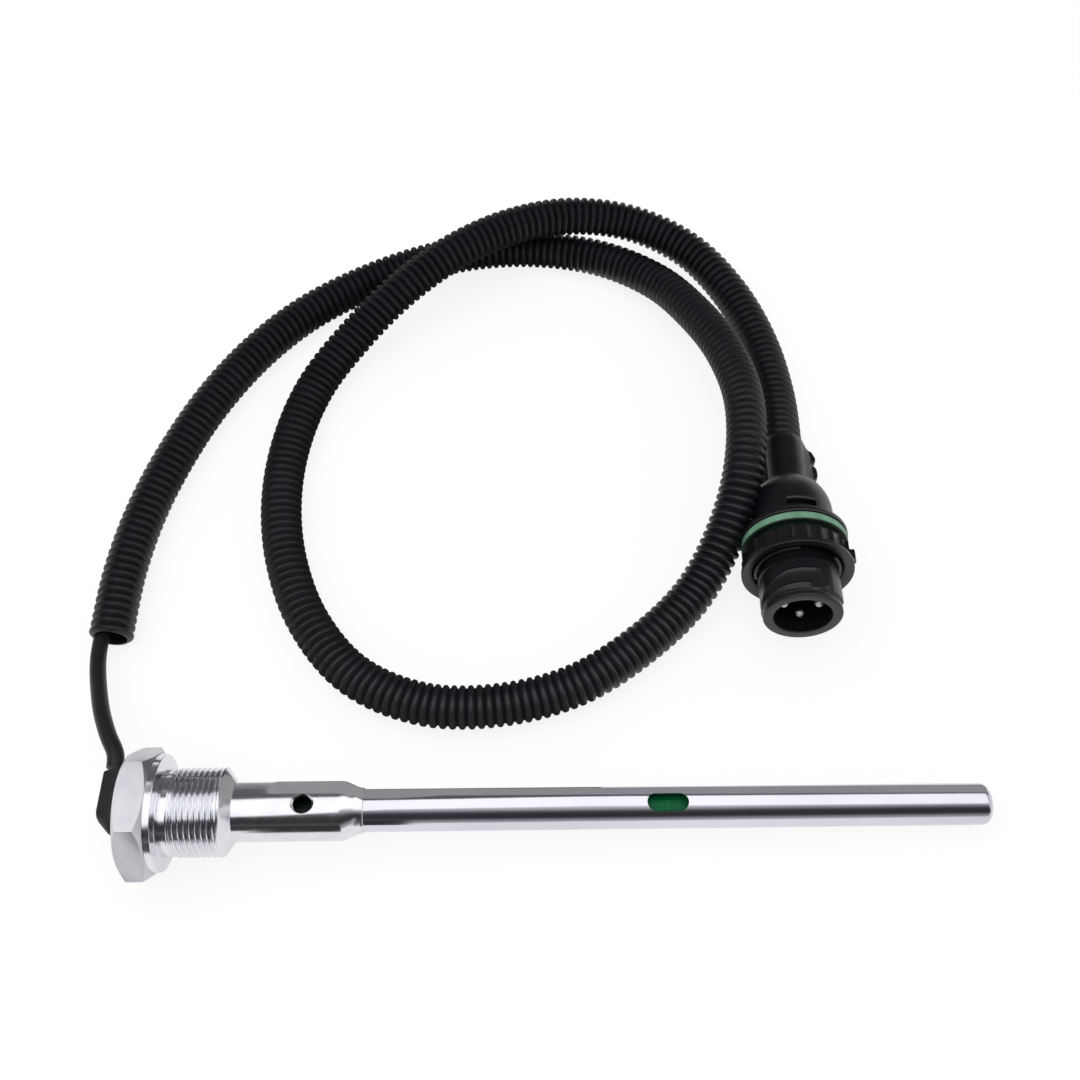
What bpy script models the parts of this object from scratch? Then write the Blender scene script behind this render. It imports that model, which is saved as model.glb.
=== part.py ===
# Screw-in liquid level sensor with a corrugated cable and a round pin connector.
# The probe lies on a table along +X, the cable makes one loop behind it, and the
# connector lies beside the loop with its pins towards -Y. Units are metres, +Z is up.

import math

import bpy
import bmesh
from mathutils import Euler, Vector

MM = 0.001
GAP = 0.3 * MM  # clearance between pieces that touch

# Mounting plug, measured along the probe from the face of the hex that seats
HEX_ACROSS_FLATS = 32.0 * MM
HEX_THICKNESS = 7.8 * MM
HEX_CHAMFER_CIRCLE = 31.8 * MM
HEX_CHAMFER_ANGLE = math.radians(33)
WASHER_FACE_DIAMETER = 31.4 * MM
WASHER_FACE_HEIGHT = 1.9 * MM
RELIEF_DIAMETER = 23.4 * MM
RELIEF_WIDTH = 3.05 * MM
THREAD_DIAMETER = 24.0 * MM
THREAD_LENGTH = 12.6 * MM
NOSE_RADIUS = 3.9 * MM
SLEEVE_DIAMETER = 16.0 * MM
SLEEVE_LENGTH = 30.0 * MM
CRIMP_LENGTH = 9.0 * MM
CRIMP_LIP = 0.45 * MM
POCKET_DIAMETER = 14.0 * MM
POCKET_DEPTH = 13.8 * MM
VENT_HOLE_DIAMETER = 5.0 * MM
VENT_COUNTERSINK_DIAMETER = 6.4 * MM
VENT_COUNTERSINK_DEPTH = 0.7 * MM
VENT_HOLE_FROM_CRIMP = 11.8 * MM

# Probe tube
TUBE_DIAMETER = 11.5 * MM
TUBE_WALL = 0.8 * MM
TUBE_FREE_LENGTH = 170.0 * MM
TUBE_INSERTION = 14.0 * MM
TUBE_RIM_RADIUS = 2.0 * MM
WINDOW_LENGTH = 11.5 * MM
WINDOW_WIDTH = 5.0 * MM
WINDOW_FROM_TIP = 91.5 * MM

# Sensing element inside the sleeve and the tube
CARRIER_EDGE_TO_TUBE = 1.35 * MM
CARRIER_CROWN_TO_TUBE = 2.65 * MM
CARRIER_BELOW_AXIS = 1.0 * MM
CARRIER_TIP_SETBACK = 8.0 * MM
CARRIER_START_BEFORE_VENT = 17.0 * MM
SPACER_THICKNESS = 4.0 * MM
SPACER_FROM_CARRIER_END = 1.6 * MM
WIRE_DIAMETER = 0.5 * MM
WIRE_SPREAD = 2.6 * MM
WIRE_DROP = 1.4 * MM
WIRE_POST_DIAMETER = 1.4 * MM
WIRE_POST_LENGTH = 1.9 * MM
WIRE_POST_BEHIND_SPACER = 4.0 * MM
WIRE_HOOK_BEFORE_SPACER = 7.0 * MM
LEAD_DIAMETER = 1.2 * MM
POTTING_RECESS = 2.8 * MM

# Rubber boot behind the hex, with its side exit for the cable
BOOT_HEIGHT = 7.65 * MM
BOOT_ROUND_RADIUS = 6.0 * MM
BOOT_HALF_THICKNESS = 5.0 * MM
BOOT_EXIT_REACH = 12.0 * MM
BOOT_EXIT_HALF_THICKNESS = 3.8 * MM
BOOT_EDGE_ROUND = 0.8 * MM
BOOT_CORNER_CUT = 3.6 * MM
BOOT_BACK_SLOPE = 1.5 * MM

# Cords
CABLE_DIAMETER = 4.7 * MM
CONDUIT_DIAMETER = 13.0 * MM
CONDUIT_STEP = 18.0 * MM
CABLE_STEP = 5.0 * MM

# Connector, measured along its axis from the front face of the ring nut
CONNECTOR_X = 76.0 * MM
CONNECTOR_Y = 67.7 * MM
CONNECTOR_NOSE_UP = math.radians(8.2)
CONNECTOR_TURN = math.radians(-93.4)
NUT_DIAMETER = 33.6 * MM
NUT_DISC_THICKNESS = 1.5 * MM
NUT_LENGTH = 7.0 * MM
NUT_GRIP_DIAMETER = 32.8 * MM
NUT_BORE_DIAMETER = 27.0 * MM
SCALLOP_COUNT = 24
SCALLOP_DEPTH = 0.9 * MM
SEAL_DIAMETER = 32.2 * MM
SEAL_THICKNESS = 4.4 * MM
FLANGE_DIAMETER = 32.6 * MM
FLANGE_THICKNESS = 1.9 * MM
FLANGE_CHAMFER = 0.6 * MM
BOSS_RECESS = 2.5 * MM
BARREL_LENGTH = 15.4 * MM
BARREL_CORE_DIAMETER = 21.6 * MM
BARREL_RIM_DIAMETER = 23.1 * MM
RAMP_HEIGHT = 1.1 * MM
RAMP_STARTS = 2
RAMP_LEAD = 11.4 * MM
SOCKET_DIAMETER = 17.2 * MM
SOCKET_DEPTH = 13.4 * MM
INSERT_THICKNESS = 9.5 * MM
SKIRT_LENGTH = 8.0 * MM
SKIRT_DIAMETER = 22.1 * MM
SKIRT_WALL = 3.45 * MM
PIN_DIAMETER = 2.5 * MM
PIN_CIRCLE = 10.4 * MM
PIN_BELOW_RIM = 3.8 * MM
PIN_COUNT = 4
PIN_PATTERN_TURN = math.radians(4.5)
WIRE_SEAL_THICKNESS = 6.0 * MM
CORE_DIAMETER = 1.6 * MM
CORE_SPREAD = 1.3 * MM

# Backshell of the connector
SHELL_LENGTH = 37.3 * MM
SHELL_WALL = 1.5 * MM
SHELL_BELL_LENGTH = 19.5 * MM
SHELL_NECK_DIAMETER = 13.8 * MM
SHELL_NECK_BORE = 10.6 * MM
SHELL_SHOULDER_DIAMETER = 23.4 * MM
LATCH_LENGTH = 18.6 * MM
LATCH_REACH = 3.2 * MM
LATCH_HEIGHT = 2.6 * MM
LATCH_FROM_REAR = 0.2 * MM
HINGE_REACH = 1.4 * MM
RECESS_LENGTH = 1.7 * MM
RECESS_WIDTH = 9.6 * MM
RECESS_OFFSET = 1.0 * MM
RECESS_FROM_FRONT = 3.4 * MM

# Facets round each kind of turned piece
PLUG_SIDES = 48
TUBE_SIDES = 32
SMALL_SIDES = 12
CONNECTOR_SIDES = 48
BARREL_SIDES = 60
SCALLOP_FACETS = 5
RAMP_STATIONS = 20

# Places that follow from the sizes above
THREAD_START = WASHER_FACE_HEIGHT + RELIEF_WIDTH
THREAD_END = THREAD_START + THREAD_LENGTH
CRIMP_START = THREAD_END + NOSE_RADIUS + SLEEVE_LENGTH
CRIMP_END = CRIMP_START + CRIMP_LENGTH
TUBE_END = CRIMP_END + TUBE_FREE_LENGTH
SLEEVE_BORE = TUBE_DIAMETER / 2 + GAP
TUBE_BORE = TUBE_DIAMETER / 2 - TUBE_WALL
CARRIER_WIDTH = 2 * (TUBE_BORE - CARRIER_EDGE_TO_TUBE)
CARRIER_CROWN = TUBE_BORE - CARRIER_CROWN_TO_TUBE
VENT_CENTRE = CRIMP_START - VENT_HOLE_FROM_CRIMP
WINDOW_CENTRE = TUBE_END - WINDOW_FROM_TIP
CARRIER_START = VENT_CENTRE - CARRIER_START_BEFORE_VENT
CARRIER_END = TUBE_END - CARRIER_TIP_SETBACK
UPPER_SPACER_START = CARRIER_START + SPACER_FROM_CARRIER_END
TIP_SPACER_END = CARRIER_END - SPACER_FROM_CARRIER_END
POTTING_START = POTTING_RECESS - HEX_THICKNESS
POTTING_END = POCKET_DEPTH - HEX_THICKNESS - GAP
BOOT_START = -HEX_THICKNESS - GAP
BOOT_END = BOOT_START - BOOT_HEIGHT

NUT_BACK = -NUT_LENGTH
SEAL_FRONT = NUT_BACK - GAP
SEAL_BACK = SEAL_FRONT - SEAL_THICKNESS
FLANGE_FRONT = SEAL_BACK - GAP
FLANGE_BACK = FLANGE_FRONT - FLANGE_THICKNESS
SOCKET_FLOOR = BARREL_LENGTH - SOCKET_DEPTH
INSERT_BACK = SOCKET_FLOOR - INSERT_THICKNESS
SKIRT_BACK = FLANGE_BACK - SKIRT_LENGTH
BOSS_RADIUS = NUT_BORE_DIAMETER / 2 - GAP
RAMP_START = -BOSS_RECESS + 0.4 * MM
RAMP_END = BARREL_LENGTH - 2.4 * MM
SHELL_FRONT = FLANGE_BACK - GAP
SHELL_REAR = SHELL_FRONT - SHELL_LENGTH
SHELL_BORE = SKIRT_DIAMETER / 2 + GAP
SHELL_RADIUS = SHELL_BORE + SHELL_WALL

# The plug rests on the front edge of its lower flat, and the tube on its tip
HEX_REST = (HEX_ACROSS_FLATS - HEX_CHAMFER_CIRCLE) / 2 * math.tan(HEX_CHAMFER_ANGLE)
TIP_REST = TUBE_END - TUBE_RIM_RADIUS
PROBE_DIP = math.atan2((HEX_ACROSS_FLATS - TUBE_DIAMETER) / 2, TIP_REST + HEX_REST)
PROBE_HEIGHT = HEX_ACROSS_FLATS / 2 * math.cos(PROBE_DIP) - HEX_REST * math.sin(PROBE_DIP)
REACH_BACK = -BOOT_END * math.cos(PROBE_DIP) + (BOOT_HALF_THICKNESS - BOOT_BACK_SLOPE) * math.sin(PROBE_DIP)
REACH_FRONT = TUBE_END * math.cos(PROBE_DIP) + (TUBE_DIAMETER / 2 - TUBE_RIM_RADIUS) * math.sin(PROBE_DIP)
PROBE_X = (REACH_BACK - REACH_FRONT) / 2

# The connector rests on the rear edge of its flange, or else on the nut's disc
FLANGE_REST = -FLANGE_BACK - FLANGE_CHAMFER
CONNECTOR_Z = max(
    FLANGE_DIAMETER / 2 * math.cos(CONNECTOR_NOSE_UP) + FLANGE_REST * math.sin(CONNECTOR_NOSE_UP),
    NUT_DIAMETER / 2 * math.cos(CONNECTOR_NOSE_UP) + NUT_DISC_THICKNESS * math.sin(CONNECTOR_NOSE_UP),
)

# Cable and conduit routes, points chosen along the photographed curve
CABLE_ROUTE = [
    (-120.9, 12.7, 16.6), (-121.6, 17.0, 16.4), (-125.0, 22.9, 15.3), (-129.1, 31.2, 12.6),
    (-132.9, 41.5, 9.1), (-134.9, 49.5, 7.2), (-135.4, 56.1, 6.4),
]
CONDUIT_ROUTE = [
    (-132.5, 56.6, 6.5), (-131.6, 79.7, 6.5), (-127.7, 102.4, 6.5), (-120.7, 124.3, 6.5),
    (-111.2, 145.3, 6.5), (-98.7, 164.7, 6.5), (-83.0, 181.5, 6.5), (-64.0, 194.6, 6.5),
    (-43.1, 204.4, 6.5), (-20.8, 210.1, 6.5), (2.2, 210.4, 6.6), (24.5, 205.0, 6.9),
    (42.9, 191.7, 9.3), (54.6, 172.6, 14.1), (62.5, 151.4, 19.0), (65.8, 128.2, 22.6),
    (62.4, 104.9, 22.1), (54.8, 84.6, 15.5), (43.8, 66.3, 8.4), (27.7, 50.0, 6.8),
    (8.0, 38.0, 6.5), (-14.3, 32.4, 6.5), (-37.2, 33.2, 6.5), (-58.0, 42.8, 6.5),
    (-72.7, 60.4, 6.5), (-81.4, 81.7, 6.5), (-84.9, 104.4, 6.5), (-83.3, 127.4, 6.6),
    (-76.7, 149.4, 7.2), (-63.8, 168.0, 10.8), (-47.7, 183.3, 16.8), (-29.4, 196.8, 20.5),
    (-9.2, 208.0, 21.0), (12.7, 214.4, 19.3), (35.4, 213.3, 16.1), (55.6, 203.2, 12.3),
    (69.4, 185.2, 9.2), (77.3, 163.6, 7.8), (80.1, 140.8, 8.2), (79.05, 118.9, 10.7),
]


# Scene and materials

for old in list(bpy.data.objects):
    bpy.data.objects.remove(old, do_unlink=True)


def principled(name, colour, roughness, metallic=0.0):
    material = bpy.data.materials.new(name)
    material.use_nodes = True
    shader = material.node_tree.nodes["Principled BSDF"]
    shader.inputs["Base Color"].default_value = (*colour, 1.0)
    shader.inputs["Roughness"].default_value = roughness
    shader.inputs["Metallic"].default_value = metallic
    return material


ZINC = principled("zinc_plated_steel", (0.62, 0.62, 0.65), 0.28, 1.0)
STAINLESS = principled("stainless_tube", (0.66, 0.66, 0.70), 0.2, 1.0)
GREEN_PLASTIC = principled("green_carrier", (0.01, 0.14, 0.06), 0.45)
RUBBER = principled("boot_rubber", (0.018, 0.018, 0.02), 0.6)
CABLE_SHEATH = principled("cable_sheath", (0.02, 0.02, 0.021), 0.55)
CONDUIT_PLASTIC = principled("conduit_plastic", (0.012, 0.012, 0.016), 0.45)
NYLON = principled("connector_nylon", (0.018, 0.018, 0.022), 0.42)
INSERT_PLASTIC = principled("insert_plastic", (0.01, 0.01, 0.012), 0.5)
SEAL_RUBBER = principled("green_seal", (0.11, 0.32, 0.16), 0.5)
PIN_METAL = principled("tinned_pin", (0.7, 0.69, 0.66), 0.25, 1.0)
BRASS = principled("brass", (0.6, 0.42, 0.16), 0.3, 1.0)
WIRE_METAL = principled("resistance_wire", (0.5, 0.5, 0.5), 0.35, 1.0)
RESIN = principled("potting_resin", (0.02, 0.02, 0.02), 0.35)
SPACER_PLASTIC = principled("spacer_plastic", (0.05, 0.05, 0.05), 0.5)
LEAD_RED = principled("lead_red", (0.45, 0.02, 0.02), 0.5)
LEAD_BLACK = principled("lead_black", (0.02, 0.02, 0.02), 0.5)


# Mesh helpers

def keep_as_piece(name, bm, material, parent):
    bmesh.ops.remove_doubles(bm, verts=bm.verts, dist=1e-7)
    bmesh.ops.recalc_face_normals(bm, faces=bm.faces)
    mesh = bpy.data.meshes.new(name)
    bm.to_mesh(mesh)
    bm.free()
    mesh.shade_smooth()
    mesh.set_sharp_from_angle(angle=math.radians(32))
    mesh.materials.append(material)
    piece = bpy.data.objects.new(name, mesh)
    bpy.context.scene.collection.objects.link(piece)
    piece.parent = parent
    return piece


def as_tool(piece):
    piece.hide_render = True
    piece.display_type = "WIRE"
    return piece


def combine(piece, tool, operation):
    modifier = piece.modifiers.new(tool.name, "BOOLEAN")
    modifier.operation = operation
    modifier.solver = "EXACT"
    modifier.object = as_tool(tool)


def add_rings(bm, outline, turns, close_round):
    rings = []
    for along, radius in outline:
        ring = []
        for turn in turns:
            reach = radius(turn) if callable(radius) else radius
            ring.append(bm.verts.new((along, reach * math.cos(turn), reach * math.sin(turn))))
        rings.append(ring)
    for first, second in zip(rings, rings[1:]):
        add_band(bm, first, second, close_round)
    return rings


def add_band(bm, first, second, close_round):
    count = len(first)
    for k in range(count if close_round else count - 1):
        after = (k + 1) % count
        bm.faces.new((first[k], first[after], second[after], second[k]))


def full_turn(sides):
    return [2 * math.pi * k / sides for k in range(sides)]


def turned_ring(name, outline, sides, material, parent):
    """A closed outline of (along, radius) swept round the local X axis."""
    bm = bmesh.new()
    rings = add_rings(bm, outline, full_turn(sides), True)
    add_band(bm, rings[-1], rings[0], True)
    return keep_as_piece(name, bm, material, parent)


def turned_solid(name, outline, sides, material, parent):
    """An open outline swept round the local X axis, with a flat cap at each end."""
    bm = bmesh.new()
    rings = add_rings(bm, outline, full_turn(sides), True)
    bm.faces.new(rings[0])
    bm.faces.new(rings[-1])
    return keep_as_piece(name, bm, material, parent)


def turned_half(name, outline, sides, start, lift, material, parent):
    """Half of a turned ring, moved off the parting plane by lift along local Z."""
    bm = bmesh.new()
    turns = [start + math.pi * k / sides for k in range(sides + 1)]
    rings = add_rings(bm, outline, turns, False)
    add_band(bm, rings[-1], rings[0], False)
    bm.faces.new([ring[0] for ring in rings])
    bm.faces.new([ring[-1] for ring in rings])
    bmesh.ops.translate(bm, verts=bm.verts, vec=(0, 0, lift))
    return keep_as_piece(name, bm, material, parent)


def extruded(name, section, start, end, material, parent):
    """A closed section of (y, z) points pushed along the local X axis."""
    bm = bmesh.new()
    near = [bm.verts.new((start, y, z)) for y, z in section]
    far = [bm.verts.new((end, y, z)) for y, z in section]
    add_band(bm, near, far, True)
    bm.faces.new(near)
    bm.faces.new(far)
    return keep_as_piece(name, bm, material, parent)


def post(name, along, side, low, high, diameter, material, parent):
    """An upright round post."""
    bm = bmesh.new()
    rings = []
    for height in (low, high):
        rings.append([
            bm.verts.new((along + diameter / 2 * math.cos(t), side + diameter / 2 * math.sin(t), height))
            for t in full_turn(SMALL_SIDES)
        ])
    add_band(bm, rings[0], rings[1], True)
    bm.faces.new(rings[0])
    bm.faces.new(rings[1])
    return keep_as_piece(name, bm, material, parent)


def arc(centre_along, centre_radius, radius, first, last, steps):
    """Points of a round edge, with angles measured from the radial direction."""
    points = []
    for k in range(steps + 1):
        angle = math.radians(first + (last - first) * k / steps)
        points.append((centre_along + radius * math.sin(angle), centre_radius + radius * math.cos(angle)))
    return points


def smooth_route(points, step, lowest):
    """Points along a smooth curve through the route, about one step apart, none below lowest."""
    route = [Vector(p) * MM for p in points]
    fine = []
    for i in range(len(route) - 1):
        before = route[max(i - 1, 0)]
        after = route[min(i + 2, len(route) - 1)]
        for k in range(16):
            t = k / 16
            fine.append(0.5 * (2 * route[i] + (route[i + 1] - before) * t
                               + (2 * before - 5 * route[i] + 4 * route[i + 1] - after) * t * t
                               + (3 * route[i] - before - 3 * route[i + 1] + after) * t ** 3))
    fine.append(route[-1])
    lengths = [0.0]
    for a, b in zip(fine, fine[1:]):
        lengths.append(lengths[-1] + (b - a).length)
    count = max(2, round(lengths[-1] / step))
    result = []
    at = 0
    for k in range(count + 1):
        target = lengths[-1] * k / count
        while at < len(fine) - 2 and lengths[at + 1] < target:
            at += 1
        share = (target - lengths[at]) / (lengths[at + 1] - lengths[at])
        point = fine[at].lerp(fine[at + 1], share)
        point.z = max(point.z, lowest)
        result.append(point)
    return result


def cord(name, points, diameter, resolution, material, parent=None):
    curve = bpy.data.curves.new(name, "CURVE")
    curve.dimensions = "3D"
    curve.bevel_depth = diameter / 2
    curve.bevel_resolution = resolution
    curve.use_fill_caps = True
    spline = curve.splines.new("POLY")
    spline.points.add(len(points) - 1)
    for place, point in zip(spline.points, points):
        place.co = (*point, 1.0)
    curve.materials.append(material)
    piece = bpy.data.objects.new(name, curve)
    bpy.context.scene.collection.objects.link(piece)
    piece.parent = parent
    return piece


def axis_empty(name, place, turn):
    empty = bpy.data.objects.new(name, None)
    bpy.context.scene.collection.objects.link(empty)
    empty.location = place
    empty.rotation_euler = Euler(turn)
    return empty


# Mounting plug

def make_plug(probe):
    thread = THREAD_DIAMETER / 2
    sleeve = SLEEVE_DIAMETER / 2
    lip = SLEEVE_BORE + CRIMP_LIP
    outline = [
        (-HEX_THICKNESS / 2, WASHER_FACE_DIAMETER / 2),
        (WASHER_FACE_HEIGHT, WASHER_FACE_DIAMETER / 2),
        (WASHER_FACE_HEIGHT, RELIEF_DIAMETER / 2),
        (THREAD_START - (thread - RELIEF_DIAMETER / 2), RELIEF_DIAMETER / 2),
        (THREAD_START, thread),
    ]
    nose_height = thread - sleeve
    for along, height in arc(0.0, 0.0, 1.0, 0, 80, 6):
        outline.append((THREAD_END + NOSE_RADIUS * along, sleeve + nose_height * height))
    outline.append((THREAD_END + NOSE_RADIUS * 1.25, sleeve))
    for k in range(7):
        share = k / 6
        drop = (sleeve - lip) * (1 - math.cos(math.pi * share)) / 2
        outline.append((CRIMP_START + CRIMP_LENGTH * share, sleeve - drop))
    plug = turned_solid("mounting_plug", outline, PLUG_SIDES, ZINC, probe)

    corner = HEX_ACROSS_FLATS / 2 / math.cos(math.radians(30))
    hexagon = [(corner * math.cos(t), corner * math.sin(t)) for t in full_turn(6)]
    head = extruded("hex_head", hexagon, -HEX_THICKNESS, 0.0, ZINC, probe)
    outside = corner * 1.02
    depth = (outside - HEX_CHAMFER_CIRCLE / 2) * math.tan(HEX_CHAMFER_ANGLE)
    chamfer = turned_solid("hex_chamfer", [
        (-HEX_THICKNESS, HEX_CHAMFER_CIRCLE / 2), (depth - HEX_THICKNESS, outside),
        (-depth, outside), (0.0, HEX_CHAMFER_CIRCLE / 2),
    ], PLUG_SIDES, ZINC, probe)
    combine(head, chamfer, "INTERSECT")
    combine(plug, head, "UNION")

    pocket_end = POCKET_DEPTH - HEX_THICKNESS
    bore = turned_solid("plug_bore", [
        (-HEX_THICKNESS - 1 * MM, POCKET_DIAMETER / 2), (pocket_end, POCKET_DIAMETER / 2),
        (pocket_end, SLEEVE_BORE), (CRIMP_END + 1 * MM, SLEEVE_BORE),
    ], TUBE_SIDES, ZINC, probe)
    combine(plug, bore, "DIFFERENCE")
    combine(plug, vent_cutter(probe), "DIFFERENCE")
    return plug


def vent_cutter(probe):
    """The vent hole goes through the upper wall, and its edge is countersunk."""
    bm = bmesh.new()
    top = SLEEVE_DIAMETER / 2
    hole = VENT_HOLE_DIAMETER / 2
    sink = VENT_COUNTERSINK_DIAMETER / 2
    rings = []
    for height, radius in ((0.0, hole), (top - VENT_COUNTERSINK_DEPTH, hole), (top, sink), (top + 1 * MM, sink)):
        rings.append([
            bm.verts.new((VENT_CENTRE + radius * math.cos(t), radius * math.sin(t), height))
            for t in full_turn(24)
        ])
    for first, second in zip(rings, rings[1:]):
        add_band(bm, first, second, True)
    bm.faces.new(rings[0])
    bm.faces.new(rings[-1])
    return keep_as_piece("vent_cutter", bm, ZINC, probe)


# Probe tube

def make_tube(probe):
    outer = TUBE_DIAMETER / 2
    rim = TUBE_RIM_RADIUS
    start = CRIMP_END - TUBE_INSERTION
    outline = [(start, outer)]
    outline += arc(TUBE_END - rim, outer - rim, rim, 0, 90, 5)
    outline += arc(TUBE_END - rim, outer - rim, rim - TUBE_WALL, 90, 0, 4)
    outline.append((start, TUBE_BORE))
    tube = turned_ring("probe_tube", outline, TUBE_SIDES, STAINLESS, probe)

    half = WINDOW_WIDTH / 2
    straight = (WINDOW_LENGTH - WINDOW_WIDTH) / 2
    bm = bmesh.new()
    rings = []
    for height in (0.0, outer + 1 * MM):
        ring = []
        for side, first in ((1, -90), (-1, 90)):
            for k in range(9):
                angle = math.radians(first + 180 * k / 8)
                along = WINDOW_CENTRE + side * straight + half * math.cos(angle)
                ring.append(bm.verts.new((along, half * math.sin(angle), height)))
        rings.append(ring)
    add_band(bm, rings[0], rings[1], True)
    bm.faces.new(rings[0])
    bm.faces.new(rings[1])
    combine(tube, keep_as_piece("window_cutter", bm, STAINLESS, probe), "DIFFERENCE")
    return tube


# Sensing element

def carrier_section(margin):
    """Flat underneath and crowned above, as seen through the window."""
    half = CARRIER_WIDTH / 2 + margin
    low = -CARRIER_BELOW_AXIS - margin
    high = CARRIER_CROWN + margin
    points = [(-half, low), (half, low)]
    for k in range(9):
        angle = math.radians(180 * k / 8)
        points.append((half * math.cos(angle), high * math.sin(angle)))
    return points


def make_sensing_element(probe):
    extruded("sensor_carrier", carrier_section(0.0), CARRIER_START, CARRIER_END, GREEN_PLASTIC, probe)

    for name, start, bore in (
        ("upper_spacer", UPPER_SPACER_START, SLEEVE_BORE),
        ("tip_spacer", TIP_SPACER_END - SPACER_THICKNESS, TUBE_BORE),
    ):
        end = start + SPACER_THICKNESS
        radius = bore - GAP
        spacer = turned_solid(name, [(start, radius), (end, radius)], TUBE_SIDES, SPACER_PLASTIC, probe)
        slot = extruded(name + "_slot", carrier_section(GAP), start - MM, end + MM, SPACER_PLASTIC, probe)
        combine(spacer, slot, "DIFFERENCE")
        if name == "upper_spacer":
            for side in (-1, 1):
                hole = turned_solid("lead_hole", [
                    (start - MM, LEAD_DIAMETER / 2 + GAP), (end + MM, LEAD_DIAMETER / 2 + GAP),
                ], SMALL_SIDES, SPACER_PLASTIC, probe)
                hole.location = (0, side * WIRE_SPREAD, -CARRIER_BELOW_AXIS - WIRE_DROP)
                combine(spacer, hole, "DIFFERENCE")

    under = -CARRIER_BELOW_AXIS
    level = under - WIRE_DROP
    post_x = UPPER_SPACER_START + SPACER_THICKNESS + WIRE_POST_BEHIND_SPACER
    for name, side in (("wire_terminal_a", 1), ("wire_terminal_b", -1)):
        post(name, post_x, side * WIRE_SPREAD, under - GAP - WIRE_POST_LENGTH, under - GAP,
             WIRE_POST_DIAMETER, BRASS, probe)
    hook_x = TIP_SPACER_END - SPACER_THICKNESS - WIRE_HOOK_BEFORE_SPACER
    wire_radius = WIRE_DIAMETER / 2
    hook_radius = WIRE_SPREAD - wire_radius - GAP
    post("wire_hook", hook_x, 0.0, under - GAP - WIRE_POST_LENGTH, under - GAP,
         2 * hook_radius, BRASS, probe)

    first = post_x + WIRE_POST_DIAMETER / 2 + GAP
    loop = [(first, WIRE_SPREAD, level)]
    for k in range(9):
        angle = math.radians(90 - 180 * k / 8)
        loop.append((hook_x + WIRE_SPREAD * math.cos(angle), WIRE_SPREAD * math.sin(angle), level))
    loop.append((first, -WIRE_SPREAD, level))
    cord("sensing_wire", loop, WIRE_DIAMETER, 2, WIRE_METAL, probe)

    lead_start = POTTING_END + GAP
    lead_end = post_x - WIRE_POST_DIAMETER / 2 - GAP
    for name, side, material in (("lead_a", 1, LEAD_RED), ("lead_b", -1, LEAD_BLACK)):
        cord(name, [(lead_start, side * WIRE_SPREAD, level), (lead_end, side * WIRE_SPREAD, level)],
             LEAD_DIAMETER, 2, material, probe)

    turned_solid("potting_plug", [
        (POTTING_START, POCKET_DIAMETER / 2 - GAP), (POTTING_END, POCKET_DIAMETER / 2 - GAP),
    ], PLUG_SIDES, RESIN, probe)


# Rubber boot

def boot_section(share):
    """Round at one side and drawn out to the cable exit at the other; share runs down the back corner."""
    side = BOOT_ROUND_RADIUS - BOOT_CORNER_CUT * share
    half = BOOT_HALF_THICKNESS - BOOT_BACK_SLOPE * share
    exit_half = BOOT_EXIT_HALF_THICKNESS - BOOT_BACK_SLOPE * share * 0.8
    reach = BOOT_EXIT_REACH - BOOT_EDGE_ROUND * share
    points = []
    for k in range(13):
        angle = math.radians(90 + 180 * k / 12)
        points.append((side * math.cos(angle), half * math.sin(angle)))
    for sign, first in ((-1, -90), (1, 0)):
        for k in range(4):
            angle = math.radians(first + 30 * k)
            points.append((reach - BOOT_EDGE_ROUND * (1 - math.cos(angle)),
                           sign * (exit_half - BOOT_EDGE_ROUND) + BOOT_EDGE_ROUND * math.sin(angle)))
    return points


def make_boot(probe):
    bm = bmesh.new()
    rings = []
    for back, share in ((BOOT_HEIGHT, 0.0), (BOOT_CORNER_CUT, 0.0), (BOOT_CORNER_CUT * 0.8, 0.16),
                        (BOOT_CORNER_CUT * 0.1, 0.9), (0.0, 1.06)):
        rings.append([bm.verts.new((BOOT_END + back, y, z)) for y, z in boot_section(share)])
    for first, second in zip(rings, rings[1:]):
        add_band(bm, first, second, True)
    bm.faces.new(rings[0])
    bm.faces.new(rings[-1])
    boot = keep_as_piece("rubber_boot", bm, RUBBER, probe)
    plug_radius = min(POCKET_DIAMETER / 2 - GAP, BOOT_HALF_THICKNESS - BOOT_EDGE_ROUND)
    spigot = turned_solid("boot_spigot", [
        (BOOT_START - BOOT_HEIGHT / 2, plug_radius), (POTTING_START - GAP, plug_radius),
    ], 24, RUBBER, probe)
    combine(boot, spigot, "UNION")
    return boot


# Connector body and what is in it

def ramp_radius(along):
    """Outside of the barrel at one station: bayonet ramps wound as a coarse thread."""
    core = BARREL_CORE_DIAMETER / 2
    fade = min(1.0, max(0.0, (RAMP_END - along) / (1.2 * MM)))

    def radius(turn):
        phase = (along / RAMP_LEAD - turn / (2 * math.pi)) * RAMP_STARTS % 1.0
        groove = max(0.0, 1.0 - abs(phase - 0.5) / 0.16)
        return core + RAMP_HEIGHT * fade * (1.0 - groove)
    return radius


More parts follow.
